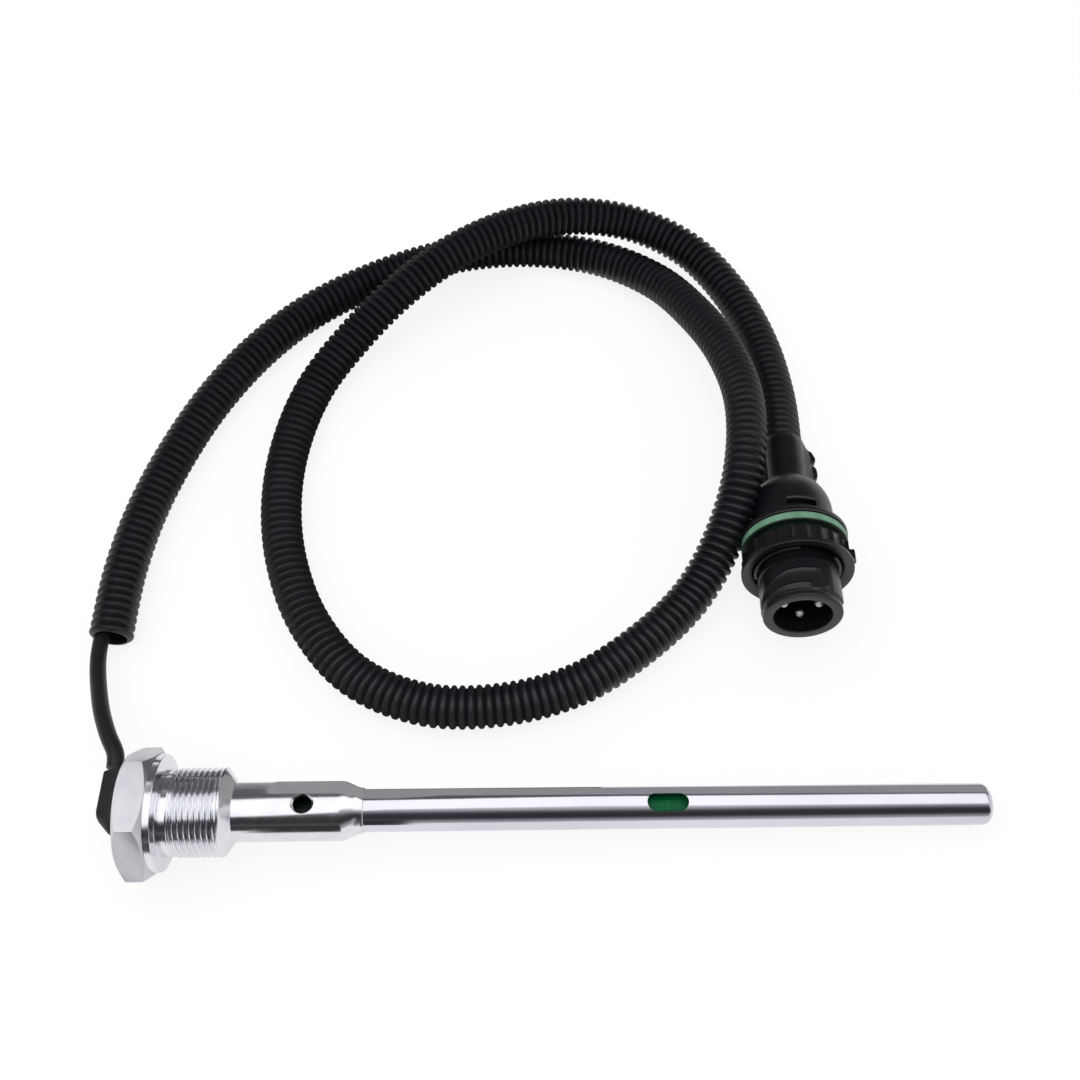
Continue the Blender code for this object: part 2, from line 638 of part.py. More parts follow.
def make_connector_body(connector):
    skirt = SKIRT_DIAMETER / 2
    flange = FLANGE_DIAMETER / 2
    rim = BARREL_RIM_DIAMETER / 2
    core = BARREL_CORE_DIAMETER / 2
    socket = SOCKET_DIAMETER / 2
    tail = skirt - SKIRT_WALL
    outline = [
        (SKIRT_BACK, tail), (SKIRT_BACK, skirt), (FLANGE_BACK, skirt), (FLANGE_BACK, flange - FLANGE_CHAMFER),
        (FLANGE_BACK + FLANGE_CHAMFER, flange), (FLANGE_FRONT, flange), (FLANGE_FRONT, BOSS_RADIUS),
        (-BOSS_RECESS, BOSS_RADIUS), (-BOSS_RECESS, core + RAMP_HEIGHT / 2),
    ]
    for k in range(RAMP_STATIONS + 1):
        along = RAMP_START + (RAMP_END - RAMP_START) * k / RAMP_STATIONS
        outline.append((along, ramp_radius(along)))
    outline += [
        (BARREL_LENGTH - 2.0 * MM, rim - 0.2 * MM), (BARREL_LENGTH - 1.6 * MM, rim),
        (BARREL_LENGTH - 0.5 * MM, rim), (BARREL_LENGTH, rim - 0.5 * MM),
        (BARREL_LENGTH, socket + 0.3 * MM), (BARREL_LENGTH - 0.4 * MM, socket),
        (INSERT_BACK - GAP, socket), (INSERT_BACK - GAP, tail),
    ]
    return turned_ring("connector_body", outline, BARREL_SIDES, NYLON, connector)


def pin_places():
    places = []
    for k in range(PIN_COUNT):
        angle = 2 * math.pi * k / PIN_COUNT + PIN_PATTERN_TURN
        places.append((PIN_CIRCLE / 2 * math.cos(angle), PIN_CIRCLE / 2 * math.sin(angle)))
    return places


def make_contacts(connector):
    socket = SOCKET_DIAMETER / 2
    insert = turned_solid("pin_insert", [
        (INSERT_BACK, socket - GAP), (SOCKET_FLOOR - 0.4 * MM, socket - GAP),
        (SOCKET_FLOOR, socket - 0.4 * MM - GAP),
    ], CONNECTOR_SIDES, INSERT_PLASTIC, connector)
    seal_front = INSERT_BACK - 2 * GAP
    seal_back = seal_front - WIRE_SEAL_THICKNESS
    seal_radius = SKIRT_DIAMETER / 2 - SKIRT_WALL - GAP
    seal = turned_solid("wire_seal", [
        (seal_back, seal_radius - 0.3 * MM), (seal_back + 0.6 * MM, seal_radius),
        (seal_front - 0.6 * MM, seal_radius), (seal_front, seal_radius - 0.3 * MM),
    ], CONNECTOR_SIDES, SEAL_RUBBER, connector)
    radius = PIN_DIAMETER / 2
    tip = BARREL_LENGTH - PIN_BELOW_RIM
    tail = seal_back - 1.5 * MM
    for number, (side, height) in enumerate(pin_places(), 1):
        hole = turned_solid("pin_hole", [(seal_back - MM, radius + GAP), (SOCKET_FLOOR + MM, radius + GAP)],
                            SMALL_SIDES, INSERT_PLASTIC, connector)
        hole.location = (0, side, height)
        combine(insert, hole, "DIFFERENCE")
        combine(seal, hole, "DIFFERENCE")
        pin = turned_solid(f"contact_pin_{number}", [
            (tail, radius), (tip - 1.2 * MM, radius), (tip - 0.4 * MM, radius * 0.8), (tip, radius * 0.45),
        ], SMALL_SIDES, PIN_METAL, connector)
        pin.location = (0, side, height)

    places = pin_places()
    for name, (side, height), material in (
        ("core_a", places[0], LEAD_RED), ("core_b", places[2], LEAD_BLACK),
    ):
        towards = math.copysign(CORE_SPREAD, side)
        bend = tail - 3 * MM
        narrow = SHELL_REAR + SHELL_LENGTH - SHELL_BELL_LENGTH - 3 * MM
        cord(name, [
            (tail - GAP, side, height), (bend, side, height), ((bend + narrow) / 2, (side + towards) / 2, height / 2),
            (narrow, towards, 0.0), (SHELL_REAR, towards, 0.0),
        ], CORE_DIAMETER, 2, material, connector)


# Green seal and ring nut

def make_flange_seal(connector):
    outer = SEAL_DIAMETER / 2
    inner = BOSS_RADIUS + GAP
    turned_ring("flange_seal", [
        (SEAL_BACK, inner), (SEAL_BACK, outer - 0.5 * MM), (SEAL_BACK + 0.5 * MM, outer),
        (SEAL_FRONT - 0.7 * MM, outer), (SEAL_FRONT, outer - 0.7 * MM), (SEAL_FRONT, inner),
    ], CONNECTOR_SIDES, SEAL_RUBBER, connector)


def grip_radius(turn):
    """Finger grips: a row of shallow scallops with narrow ridges between them."""
    wave = abs(math.sin(turn * SCALLOP_COUNT / 2))
    return NUT_GRIP_DIAMETER / 2 - SCALLOP_DEPTH * wave ** 0.7


def make_ring_nut(connector):
    disc = NUT_DIAMETER / 2
    bore = NUT_BORE_DIAMETER / 2
    turned_ring("ring_nut", [
        (NUT_BACK, bore), (NUT_BACK, lambda t: grip_radius(t) - 0.5 * MM), (NUT_BACK + 0.5 * MM, grip_radius),
        (-NUT_DISC_THICKNESS, grip_radius), (-NUT_DISC_THICKNESS, disc), (-0.4 * MM, disc),
        (0.0, disc - 0.4 * MM), (0.0, bore + 0.6 * MM), (-0.6 * MM, bore),
    ], SCALLOP_COUNT * SCALLOP_FACETS, NYLON, connector)


# Backshell

def make_backshell(connector):
    neck = SHELL_NECK_DIAMETER / 2
    neck_bore = SHELL_NECK_BORE / 2
    shoulder = SHELL_SHOULDER_DIAMETER / 2
    bell_rear = SHELL_FRONT - SHELL_BELL_LENGTH
    outline = [
        (SHELL_REAR, neck_bore), (SHELL_REAR, neck - 0.4 * MM), (SHELL_REAR + 0.4 * MM, neck),
        (bell_rear, neck), (bell_rear + 0.8 * MM, neck + 1.2 * MM), (bell_rear + 2.2 * MM, shoulder - 1.4 * MM),
        (bell_rear + 4.9 * MM, shoulder), (bell_rear + 7.6 * MM, SHELL_RADIUS - 0.4 * MM),
        (bell_rear + 10.7 * MM, SHELL_RADIUS), (SHELL_FRONT, SHELL_RADIUS),
        (SHELL_FRONT, SHELL_BORE), (SKIRT_BACK - GAP, SHELL_BORE),
        (bell_rear + 3.5 * MM, neck + 0.8 * MM), (bell_rear + 1.5 * MM, neck_bore),
    ]
    latch_start = SHELL_REAR + LATCH_FROM_REAR
    halves = (("backshell_upper", 0.0, 1), ("backshell_lower", math.pi, -1))
    for name, start, side in halves:
        half = turned_half(name, outline, CONNECTOR_SIDES // 2, start, side * GAP / 2, NYLON, connector)
        for label, direction, reach in (("latch", 1, LATCH_REACH), ("hinge", -1, HINGE_REACH)):
            bm = bmesh.new()
            rings = []
            for step, share in ((0.0, 0.08), (0.15, 0.25), (0.4, 0.78), (0.52, 1.0), (1.0, 1.0)):
                along = latch_start + LATCH_LENGTH * step
                inner = direction * (neck - SHELL_WALL / 2)
                outer = direction * (neck + reach * share)
                low = side * GAP / 2
                high = side * (GAP / 2 + LATCH_HEIGHT)
                section = [(inner, low), (outer, low), (outer, high * 0.6), (inner, high)]
                rings.append([bm.verts.new((along, y, z)) for y, z in section])
            for first, second in zip(rings, rings[1:]):
                add_band(bm, first, second, True)
            bm.faces.new(rings[0])
            bm.faces.new(rings[-1])
            combine(half, keep_as_piece(f"{label}_{name}", bm, NYLON, connector), "UNION")
        if side > 0:
            recess_end = SHELL_FRONT - RECESS_FROM_FRONT
            window = extruded("recess_cutter", [
                (RECESS_OFFSET - RECESS_WIDTH / 2, SHELL_BORE * 0.8), (RECESS_OFFSET + RECESS_WIDTH / 2, SHELL_BORE * 0.8),
                (RECESS_OFFSET + RECESS_WIDTH / 2, SHELL_RADIUS + MM),
                (RECESS_OFFSET - RECESS_WIDTH / 2, SHELL_RADIUS + MM),
            ], recess_end - RECESS_LENGTH, recess_end, NYLON, connector)
            combine(half, window, "DIFFERENCE")


# Assembly

probe_axis = axis_empty("probe_axis", (PROBE_X, 0, PROBE_HEIGHT), (0, PROBE_DIP, 0))
connector_axis = axis_empty("connector_axis", (CONNECTOR_X, CONNECTOR_Y, CONNECTOR_Z),
                            (0, -CONNECTOR_NOSE_UP, CONNECTOR_TURN))

make_plug(probe_axis)
make_tube(probe_axis)
make_sensing_element(probe_axis)
make_boot(probe_axis)
cord("cable", smooth_route(CABLE_ROUTE, CABLE_STEP, CABLE_DIAMETER / 2), CABLE_DIAMETER, 2, CABLE_SHEATH)
cord("conduit", smooth_route(CONDUIT_ROUTE, CONDUIT_STEP, CONDUIT_DIAMETER / 2), CONDUIT_DIAMETER, 3, CONDUIT_PLASTIC)
make_connector_body(connector_axis)
make_contacts(connector_axis)
make_flange_seal(connector_axis)
make_ring_nut(connector_axis)
make_backshell(connector_axis)
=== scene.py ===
import math

import bpy
import bmesh
import numpy as np
from mathutils import Euler, Matrix, Vector


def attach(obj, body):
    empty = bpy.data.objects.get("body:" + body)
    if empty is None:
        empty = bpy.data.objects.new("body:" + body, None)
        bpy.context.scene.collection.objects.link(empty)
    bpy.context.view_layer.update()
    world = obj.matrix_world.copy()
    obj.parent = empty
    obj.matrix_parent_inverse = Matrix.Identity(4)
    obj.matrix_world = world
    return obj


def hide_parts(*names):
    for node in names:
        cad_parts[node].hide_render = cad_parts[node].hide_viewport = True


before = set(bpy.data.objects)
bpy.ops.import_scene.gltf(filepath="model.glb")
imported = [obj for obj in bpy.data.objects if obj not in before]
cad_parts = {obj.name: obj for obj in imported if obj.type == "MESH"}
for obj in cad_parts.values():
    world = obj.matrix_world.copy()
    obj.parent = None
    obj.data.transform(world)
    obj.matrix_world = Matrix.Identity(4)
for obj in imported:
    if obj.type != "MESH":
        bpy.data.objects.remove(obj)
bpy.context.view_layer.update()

mm = 0.001


def pick(settings, *keys):
    return [settings[key] for key in keys]


# Camera, where the photograph was taken from: above the probe and a little in front

cameraSettings = {
    "place": (-0.00533, -0.08425, 0.31910),
    "turnDegrees": (28.8, 0.0, -1.3337),
    "lens": 37.33,
    "sensor": 36.0,
}

cameraData = bpy.data.cameras.new("photoCamera")
cameraData.lens = cameraSettings["lens"]
cameraData.sensor_width = cameraSettings["sensor"]
cameraData.clip_start = 0.01
camera = bpy.data.objects.new("photoCamera", cameraData)
camera.location = cameraSettings["place"]
camera.rotation_euler = [math.radians(a) for a in cameraSettings["turnDegrees"]]
bpy.context.scene.collection.objects.link(camera)
bpy.context.scene.camera = camera
print("camera set")


# Tools for meshes

def shadeSmooth(mesh, sharpDegrees):
    mesh.shade_smooth()
    mesh.set_sharp_from_angle(angle=math.radians(sharpDegrees))


def addPiece(name, mesh, material, place, sharpDegrees):
    shadeSmooth(mesh, sharpDegrees)
    mesh.materials.append(material)
    piece = bpy.data.objects.new(name, mesh)
    bpy.context.scene.collection.objects.link(piece)
    if place is not None:
        piece.matrix_world = place
    return piece


def gridMesh(name, rows, closeRound=True, closeAlong=False, caps=False):
    rows = np.asarray(rows, dtype=float)
    count, across = rows.shape[0], rows.shape[1]
    alongSteps = np.arange(count if closeAlong else count - 1)
    acrossSteps = np.arange(across if closeRound else across - 1)
    i, j = np.meshgrid(alongSteps, acrossSteps, indexing="ij")
    nextRow, nextPoint = (i + 1) % count, (j + 1) % across
    faces = np.stack([i * across + j, i * across + nextPoint,
                      nextRow * across + nextPoint, nextRow * across + j], axis=-1).reshape(-1, 4).tolist()
    if caps:
        faces.append(list(range(across))[::-1])
        faces.append(list(range((count - 1) * across, count * across)))
    mesh = bpy.data.meshes.new(name)
    mesh.from_pydata(rows.reshape(-1, 3).tolist(), [], faces)
    bm = bmesh.new()
    bm.from_mesh(mesh)
    bmesh.ops.recalc_face_normals(bm, faces=bm.faces)
    bm.to_mesh(mesh)
    bm.free()
    return mesh


def gridPiece(name, rows, material, place, sharpDegrees=32, **form):
    return addPiece(name, gridMesh(name, rows, **form), material, place, sharpDegrees)


def turnsAround(sides):
    return np.arange(sides) * 2 * math.pi / sides


def ringRow(along, reach, turns):
    return np.stack([np.broadcast_to(along, turns.shape), reach * np.cos(turns), reach * np.sin(turns)], axis=-1)


def turnedRows(profile, sides):
    turns = turnsAround(sides)
    return [ringRow(along, radius(turns) if callable(radius) else radius, turns) for along, radius in profile]


def turnedPiece(name, profile, sides, material, place, closed=True, sharpDegrees=32):
    rows = turnedRows(profile, sides)
    return gridPiece(name, rows, material, place, sharpDegrees, closeAlong=closed, caps=not closed)


def roundEdge(centreAlong, centreRadius, radius, first, last, steps):
    points = []
    for k in range(steps + 1):
        angle = math.radians(first + (last - first) * k / steps)
        points.append((centreAlong + radius * math.sin(angle), centreRadius + radius * math.cos(angle)))
    return points


def combineMeshes(piece, tool, operation):
    step = piece.modifiers.new("shape", "BOOLEAN")
    step.operation = operation
    step.solver = "EXACT"
    step.object = tool
    applyModifiers(piece)
    bpy.data.objects.remove(tool, do_unlink=True)


def applyModifiers(piece):
    bpy.context.view_layer.update()
    depsgraph = bpy.context.evaluated_depsgraph_get()
    made = bpy.data.meshes.new_from_object(piece.evaluated_get(depsgraph))
    piece.modifiers.clear()
    piece.data = made


def bevelEdges(piece, width, segments=2, degrees=30):
    step = piece.modifiers.new("edges", "BEVEL")
    step.width = width
    step.segments = segments
    step.limit_method = "ANGLE"
    step.angle_limit = math.radians(degrees)
    step.use_clamp_overlap = True
    applyModifiers(piece)


def roundNormals(piece, sharpDegrees=32):
    mesh = piece.data
    shadeSmooth(mesh, sharpDegrees)
    steepest, radial = 0.02, 0.97
    normals = [(0.0, 0.0, 0.0)] * len(mesh.loops)
    for face in mesh.polygons:
        if abs(face.normal.x) > steepest:
            continue
        for loop in face.loop_indices:
            point = mesh.vertices[mesh.loops[loop].vertex_index].co
            out = Vector((0.0, point.y, point.z)).normalized()
            if face.normal.dot(out) > radial:
                normals[loop] = tuple(out)
            elif face.normal.dot(out) < -radial:
                normals[loop] = tuple(-out)
    mesh.normals_split_custom_set(normals)


def smoothRoute(points, step, lowest):
    route = [Vector(p) * mm for p in points]
    fineSteps = 24
    fine = []
    for i in range(len(route) - 1):
        before = route[max(i - 1, 0)]
        after = route[min(i + 2, len(route) - 1)]
        for k in range(fineSteps):
            t = k / fineSteps
            fine.append(0.5 * (2 * route[i] + (route[i + 1] - before) * t
                               + (2 * before - 5 * route[i] + 4 * route[i + 1] - after) * t * t
                               + (3 * route[i] - before - 3 * route[i + 1] + after) * t ** 3))
    fine.append(route[-1])
    fine = np.array([tuple(p) for p in fine])
    reached = np.concatenate([[0.0], np.cumsum(np.linalg.norm(np.diff(fine, axis=0), axis=1))])
    count = max(2, round(reached[-1] / step))
    targets = np.linspace(0.0, reached[-1], count + 1)
    path = np.stack([np.interp(targets, reached, fine[:, k]) for k in range(3)], axis=-1)
    path[:, 2] = np.maximum(path[:, 2], lowest)
    return path, float(reached[-1])


def crossFrames(path):
    tangents = np.gradient(path, axis=0)
    tangents /= np.linalg.norm(tangents, axis=1)[:, None]
    up = np.array([0.0, 0.0, 1.0])
    sides = np.cross(up, tangents)
    sides /= np.linalg.norm(sides, axis=1)[:, None]
    return tangents, sides, np.cross(tangents, sides)


# Tools for materials

def hexToLinear(code):
    channels = [int(code[k:k + 2], 16) / 255 for k in (1, 3, 5)]
    return tuple(c / 12.92 if c <= 0.04045 else ((c + 0.055) / 1.055) ** 2.4 for c in channels) + (1.0,)


def addNode(tree, kind, settings=None, links=None):
    node = tree.nodes.new(kind)
    for key, value in (settings or {}).items():
        if isinstance(key, str) and hasattr(node, key):
            setattr(node, key, value)
        else:
            node.inputs[key].default_value = value
    for key, source in (links or {}).items():
        tree.links.new(source, node.inputs[key])
    return node


def newMaterial(name, settings):
    material = bpy.data.materials.new(name)
    material.use_nodes = True
    tree = material.node_tree
    shader = tree.nodes["Principled BSDF"]
    for key, value in settings.items():
        shader.inputs[key].default_value = value
    return material, tree, shader


def blendColours(tree, factor, low, high):
    mix = addNode(tree, "ShaderNodeMix", {"data_type": "RGBA", 6: hexToLinear(low), 7: hexToLinear(high)}, {0: factor})
    return mix.outputs[2]


def spread(tree, source, low, high, fromLow=0.3, fromHigh=0.7):
    ranged = addNode(tree, "ShaderNodeMapRange", {1: fromLow, 2: fromHigh, 3: low, 4: high}, {0: source})
    return ranged.outputs[0]


def bumpFrom(tree, source, distance, strength=1.0):
    bump = addNode(tree, "ShaderNodeBump", {"Strength": strength, "Distance": distance}, {"Height": source})
    return bump.outputs["Normal"]


def objectNoise(tree, millimetres, detail=3.0, stretch=(1.0, 1.0, 1.0), roughness=0.5):
    place = addNode(tree, "ShaderNodeTexCoord")
    sized = addNode(tree, "ShaderNodeMapping", {"Scale": stretch}, {"Vector": place.outputs["Object"]})
    noise = addNode(tree, "ShaderNodeTexNoise",
                    {"Scale": 1.0 / (millimetres * mm), "Detail": detail, "Roughness": roughness},
                    {"Vector": sized.outputs[0]})
    return noise.outputs[0]


def colourFrom(tree, shader, clouds, colours):
    tree.links.new(blendColours(tree, spread(tree, clouds, 0.0, 1.0), *colours), shader.inputs["Base Color"])


# Zinc plated steel, turned from hexagon bar: bright, a little blue, fine rings left by the tool
zincPlate = {
    "colours": ("#DDDEE4", "#E8E8EC"),
    "roughness": (0.13, 0.2),
    "ringMm": 0.3,
    "ringHeightMm": 0.0012,
    "cloudMm": 6.0,
}


def zincPlated(name, settings):
    material, tree, shader = newMaterial(name, {"Metallic": 1.0})
    colourFrom(tree, shader, objectNoise(tree, settings["cloudMm"]), settings["colours"])
    rough = spread(tree, objectNoise(tree, settings["cloudMm"] / 3), *settings["roughness"])
    tree.links.new(rough, shader.inputs["Roughness"])
    place = addNode(tree, "ShaderNodeTexCoord")
    along = addNode(tree, "ShaderNodeSeparateXYZ", {}, {0: place.outputs["Object"]})
    rings = addNode(tree, "ShaderNodeTexNoise",
                    {"noise_dimensions": "1D", "Scale": 1 / (settings["ringMm"] * mm), "Detail": 2.0},
                    {"W": along.outputs["X"]})
    normal = bumpFrom(tree, rings.outputs[0], settings["ringHeightMm"] * mm)
    tree.links.new(normal, shader.inputs["Normal"])
    return material


zincTurned = zincPlated("zincPlatedTurnedSteel", zincPlate)

# The hex keeps the drawn bar's dull skin under its zinc, so it scatters more than the turned part
zincDrawn = zincPlated("zincPlatedDrawnSteel", {
    "colours": ("#C4C4CB", "#CECED3"),
    "roughness": (0.3, 0.38),
    "ringMm": 0.5,
    "ringHeightMm": 0.002,
    "cloudMm": 4.0,
})

# Stainless steel tube, drawn and polished: a clear mirror with faint lines along it
drawnTube = {
    "colours": ("#D2D2DB", "#DEDEE6"),
    "roughness": (0.1, 0.16),
    "lineMm": 0.25,
    "lineHeightMm": 0.001,
    "cloudMm": 14.0,
}


def polishedTube(name, settings):
    material, tree, shader = newMaterial(name, {"Metallic": 1.0})
    colourFrom(tree, shader, objectNoise(tree, settings["cloudMm"], stretch=(0.3, 1.0, 1.0)), settings["colours"])
    lines = objectNoise(tree, settings["lineMm"], stretch=(0.02, 1.0, 1.0))
    tree.links.new(spread(tree, lines, *settings["roughness"]), shader.inputs["Roughness"])
    tree.links.new(bumpFrom(tree, lines, settings["lineHeightMm"] * mm), shader.inputs["Normal"])
    return material


stainless = polishedTube("polishedStainlessTube", drawnTube)


def mouldedPlastic(name, settings):
    constant = {"Metallic": 0.0, "IOR": settings["ior"]}
    constant.update(settings.get("constant", {}))
    material, tree, shader = newMaterial(name, constant)
    colourFrom(tree, shader, objectNoise(tree, settings["cloudMm"]), settings["colours"])
    grain = objectNoise(tree, settings["grainMm"], detail=4.0)
    tree.links.new(spread(tree, grain, *settings["roughness"]), shader.inputs["Roughness"])
    tree.links.new(bumpFrom(tree, grain, settings["grainHeightMm"] * mm), shader.inputs["Normal"])
    return material


# Glass-filled nylon, moulded: black with a satin skin and a faint spark-eroded grain
nylon = mouldedPlastic("mouldedNylon", {
    "colours": ("#08070C", "#0F0D14"), "cloudMm": 4.0, "ior": 1.53,
    "grainMm": 0.35, "grainHeightMm": 0.012, "roughness": (0.3, 0.44),
})

# The same nylon inside the socket, where the tool was left rough: matt, with a colour darker than the outer nylon as
# painted shade inside the socket
mattShadedNylon = mouldedPlastic("roughShadedNylon", {
    "colours": ("#060508", "#0A080D"), "cloudMm": 4.0, "ior": 1.5,
    "grainMm": 0.35, "grainHeightMm": 0.012, "roughness": (0.6, 0.75),
    "constant": {"Specular IOR Level": 0.12},
})

# Polypropylene conduit, blow moulded in a corrugator: thin, soft sheen, slightly blue in the light
conduitPlastic = mouldedPlastic("corrugatedPolypropylene", {
    "colours": ("#0A0910", "#121018"), "cloudMm": 9.0, "ior": 1.49,
    "grainMm": 0.5, "grainHeightMm": 0.01, "roughness": (0.36, 0.5),
})

# EPDM boot, compression moulded: dead black, dusty, scatters what light it gets
bootRubber = mouldedPlastic("mouldedRubber", {
    "colours": ("#111114", "#1A1A1E"), "cloudMm": 3.0, "ior": 1.52,
    "grainMm": 0.4, "grainHeightMm": 0.02, "roughness": (0.52, 0.7),
})

# PVC cable sheath, extruded: smooth, satin black
sheath = mouldedPlastic("extrudedSheath", {
    "colours": ("#111113", "#19191C"), "cloudMm": 5.0, "ior": 1.52,
    "grainMm": 0.3, "grainHeightMm": 0.008, "roughness": (0.4, 0.52),
})

# Silicone seal, moulded: soft green that glows a little at its edges
silicone = {
    "colours": ("#618C6F", "#76A085"), "cloudMm": 3.0, "ior": 1.43,
    "grainMm": 0.4, "grainHeightMm": 0.01, "roughness": (0.42, 0.55),
    "constant": {"Subsurface Weight": 0.15, "Subsurface Radius": (0.0006, 0.0012, 0.0006), "Subsurface Scale": 1.0},
}
sealSilicone = mouldedPlastic("mouldedSilicone", silicone)
# A copy of the seal's silicone for the flange seal, which takes painted shade in its groove below
shadedFlangeSilicone = mouldedPlastic("mouldedSiliconePaintedShade", silicone)

# Glass-filled polyester carrier, moulded: deep green with pale fibres near its skin
carrierPlastic = mouldedPlastic("mouldedGreenPolyester", {
    "colours": ("#04502E", "#07683A"), "cloudMm": 1.6, "ior": 1.57,
    "grainMm": 0.25, "grainHeightMm": 0.012, "roughness": (0.36, 0.52),
    "constant": {"Specular IOR Level": 0.16},
})


# Mixes a darker colour into a material towards one end of its part, along the object's X: painted shade in both uses
# below
def darkenEnd(material, settings):
    tree = material.node_tree
    shader = tree.nodes["Principled BSDF"]
    green = shader.inputs["Base Color"].links[0].from_socket
    place = addNode(tree, "ShaderNodeTexCoord")
    parts = addNode(tree, "ShaderNodeSeparateXYZ", {}, {0: place.outputs["Object"]})
    share = spread(tree, parts.outputs["X"], 0.0, 1.0, settings["from"], settings["to"])
    mix = addNode(tree, "ShaderNodeMix", {"data_type": "RGBA", 6: hexToLinear(settings["colour"])},
                  {0: share, 7: green})
    tree.links.new(mix.outputs[2], shader.inputs["Base Color"])


# The carrier's upper end, behind the vent hole, is mixed to near black: painted shade inside the vent hole
darkenEnd(carrierPlastic, {"from": -60.0 * mm, "to": -45.0 * mm, "colour": "#04140D"})

# Painted shade in the seal's groove, next to the ring nut: the seal's front end is mixed to a dark green
darkenEnd(shadedFlangeSilicone, {"from": -9.0 * mm, "to": -9.35 * mm, "colour": "#081A0F"})

# Polyamide insert that holds the pins, moulded: matt black
insertPlastic = mouldedPlastic("mouldedInsert", {
    "colours": ("#0A0A0C", "#101013"), "cloudMm": 3.0, "ior": 1.53,
    "grainMm": 0.3, "grainHeightMm": 0.01, "roughness": (0.5, 0.65),
})

# Epoxy potting, cast: black and glassy, with a soft meniscus
potting = mouldedPlastic("castEpoxy", {
    "colours": ("#0C0C0D", "#131314"), "cloudMm": 4.0, "ior": 1.56,
    "grainMm": 1.2, "grainHeightMm": 0.02, "roughness": (0.12, 0.24),
})

# Acetal bush, moulded: dark grey and waxy
spacerPlastic = mouldedPlastic("mouldedAcetal", {
    "colours": ("#38383A", "#444446"), "cloudMm": 3.0, "ior": 1.48,
    "grainMm": 0.3, "grainHeightMm": 0.008, "roughness": (0.42, 0.55),
})

# PVC insulation on the cores, extruded: plain red and plain black
coreSkin = {"cloudMm": 3.0, "ior": 1.52, "grainMm": 0.3, "grainHeightMm": 0.006, "roughness": (0.38, 0.5)}
redCore = mouldedPlastic("redInsulation", {**coreSkin, "colours": ("#A01C1C", "#B52626")})
blackCore = mouldedPlastic("blackInsulation", {**coreSkin, "colours": ("#161617", "#1E1E20")})


def plainMetal(name, settings):
    material, tree, shader = newMaterial(name, {"Metallic": 1.0})
    clouds = objectNoise(tree, settings["cloudMm"])
    colourFrom(tree, shader, clouds, settings["colours"])
    tree.links.new(spread(tree, clouds, *settings["roughness"]), shader.inputs["Roughness"])
    return material


# Tinned brass pins, turned then plated: pale and slightly warm, dulled by handling
tinnedPin = plainMetal("tinnedBrass", {"colours": ("#DCDBD8", "#EBEAE6"), "cloudMm": 0.8, "roughness": (0.38, 0.5)})
# Bare brass terminals, stamped: yellow with a tarnished haze
bareBrass = plainMetal("stampedBrass", {"colours": ("#B08C4A", "#C9A662"), "cloudMm": 0.6, "roughness": (0.26, 0.4)})
# Nickel chromium wire, drawn: grey and even
resistanceWire = plainMetal("drawnResistanceWire", {
    "colours": ("#8F8E8C", "#A3A29F"), "cloudMm": 0.5, "roughness": (0.3, 0.42)})
print("materials made")


# Cords: the cable from the boot into the conduit, and the conduit to the connector

cableSettings = {
    "route": [
        (-120.9, 12.7, 16.6), (-121.6, 17.0, 16.4), (-125.0, 22.9, 15.3), (-129.1, 31.2, 12.6),
        (-132.9, 41.5, 9.1), (-134.9, 49.5, 7.2), (-135.4, 56.1, 6.4),
    ],
    "diameter": 4.7 * mm,
    "step": 1.2 * mm,
    "insideConduit": 7.0 * mm,
}

conduitSettings = {
    "route": [
        (-132.5, 56.6, 6.5), (-131.6, 79.7, 6.5), (-127.7, 102.4, 6.5), (-120.7, 124.3, 6.5),
        (-111.2, 145.3, 6.5), (-98.7, 164.7, 6.5), (-83.0, 181.5, 6.5), (-64.0, 194.6, 6.5),
        (-43.1, 204.4, 6.5), (-20.8, 210.1, 6.5), (2.2, 210.4, 6.6), (24.5, 205.0, 6.9),
        (42.9, 191.7, 9.3), (54.6, 172.6, 14.1), (62.5, 151.4, 19.0), (65.8, 128.2, 22.6),
        (63.3, 104.5, 22.1), (56.5, 84.2, 15.5), (45.0, 65.9, 8.4), (27.7, 50.0, 6.8),
        (8.0, 38.0, 6.5), (-14.3, 32.4, 6.5), (-37.2, 33.2, 6.5), (-58.0, 42.8, 6.5),
        (-72.7, 60.4, 6.5), (-81.4, 81.7, 6.5), (-84.9, 104.4, 6.5), (-83.3, 127.4, 6.6),
        (-76.7, 149.4, 7.2), (-63.8, 168.0, 10.8), (-47.7, 183.3, 16.8), (-29.4, 196.8, 20.5),
        (-9.2, 208.0, 21.0), (12.7, 214.4, 19.3), (35.4, 213.3, 16.1), (55.6, 203.2, 12.3),
        (69.4, 185.2, 9.2), (77.3, 163.6, 7.8), (80.1, 140.8, 8.2), (79.05, 118.9, 10.7),
    ],
    "diameter": 13.0 * mm,
    "valleyDiameter": 10.9 * mm,
    "pitch": 2.65 * mm,
    "crestWidth": 1.5,
    "crestRound": 0.8,
    "stepsPerRib": 8,
    "sides": 30,
    "mouthBore": 9.6 * mm,
    "mouthDepth": 14.0 * mm,
}


def makeCable(settings):
    path, length = smoothRoute(settings["route"], settings["step"], settings["diameter"] / 2)
    ahead = path[-1] - path[-2]
    ahead /= np.linalg.norm(ahead)
    inside = [path[-1] + ahead * settings["insideConduit"] * k / 5 for k in range(1, 6)]
    path = np.vstack([path, inside])
    curve = bpy.data.curves.new("cableSheath", "CURVE")
    curve.dimensions = "3D"
    curve.bevel_depth = settings["diameter"] / 2
    curve.bevel_resolution = 8
    curve.use_fill_caps = True
    line = curve.splines.new("POLY")
    line.points.add(len(path) - 1)
    for point, where in zip(line.points, path):
        point.co = (*where, 1.0)
    curve.materials.append(sheath)
    cable = bpy.data.objects.new("cableSheath", curve)
    bpy.context.scene.collection.objects.link(cable)
    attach(cable, "sensor")
    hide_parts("cable")
    return cable, path, length + settings["insideConduit"]


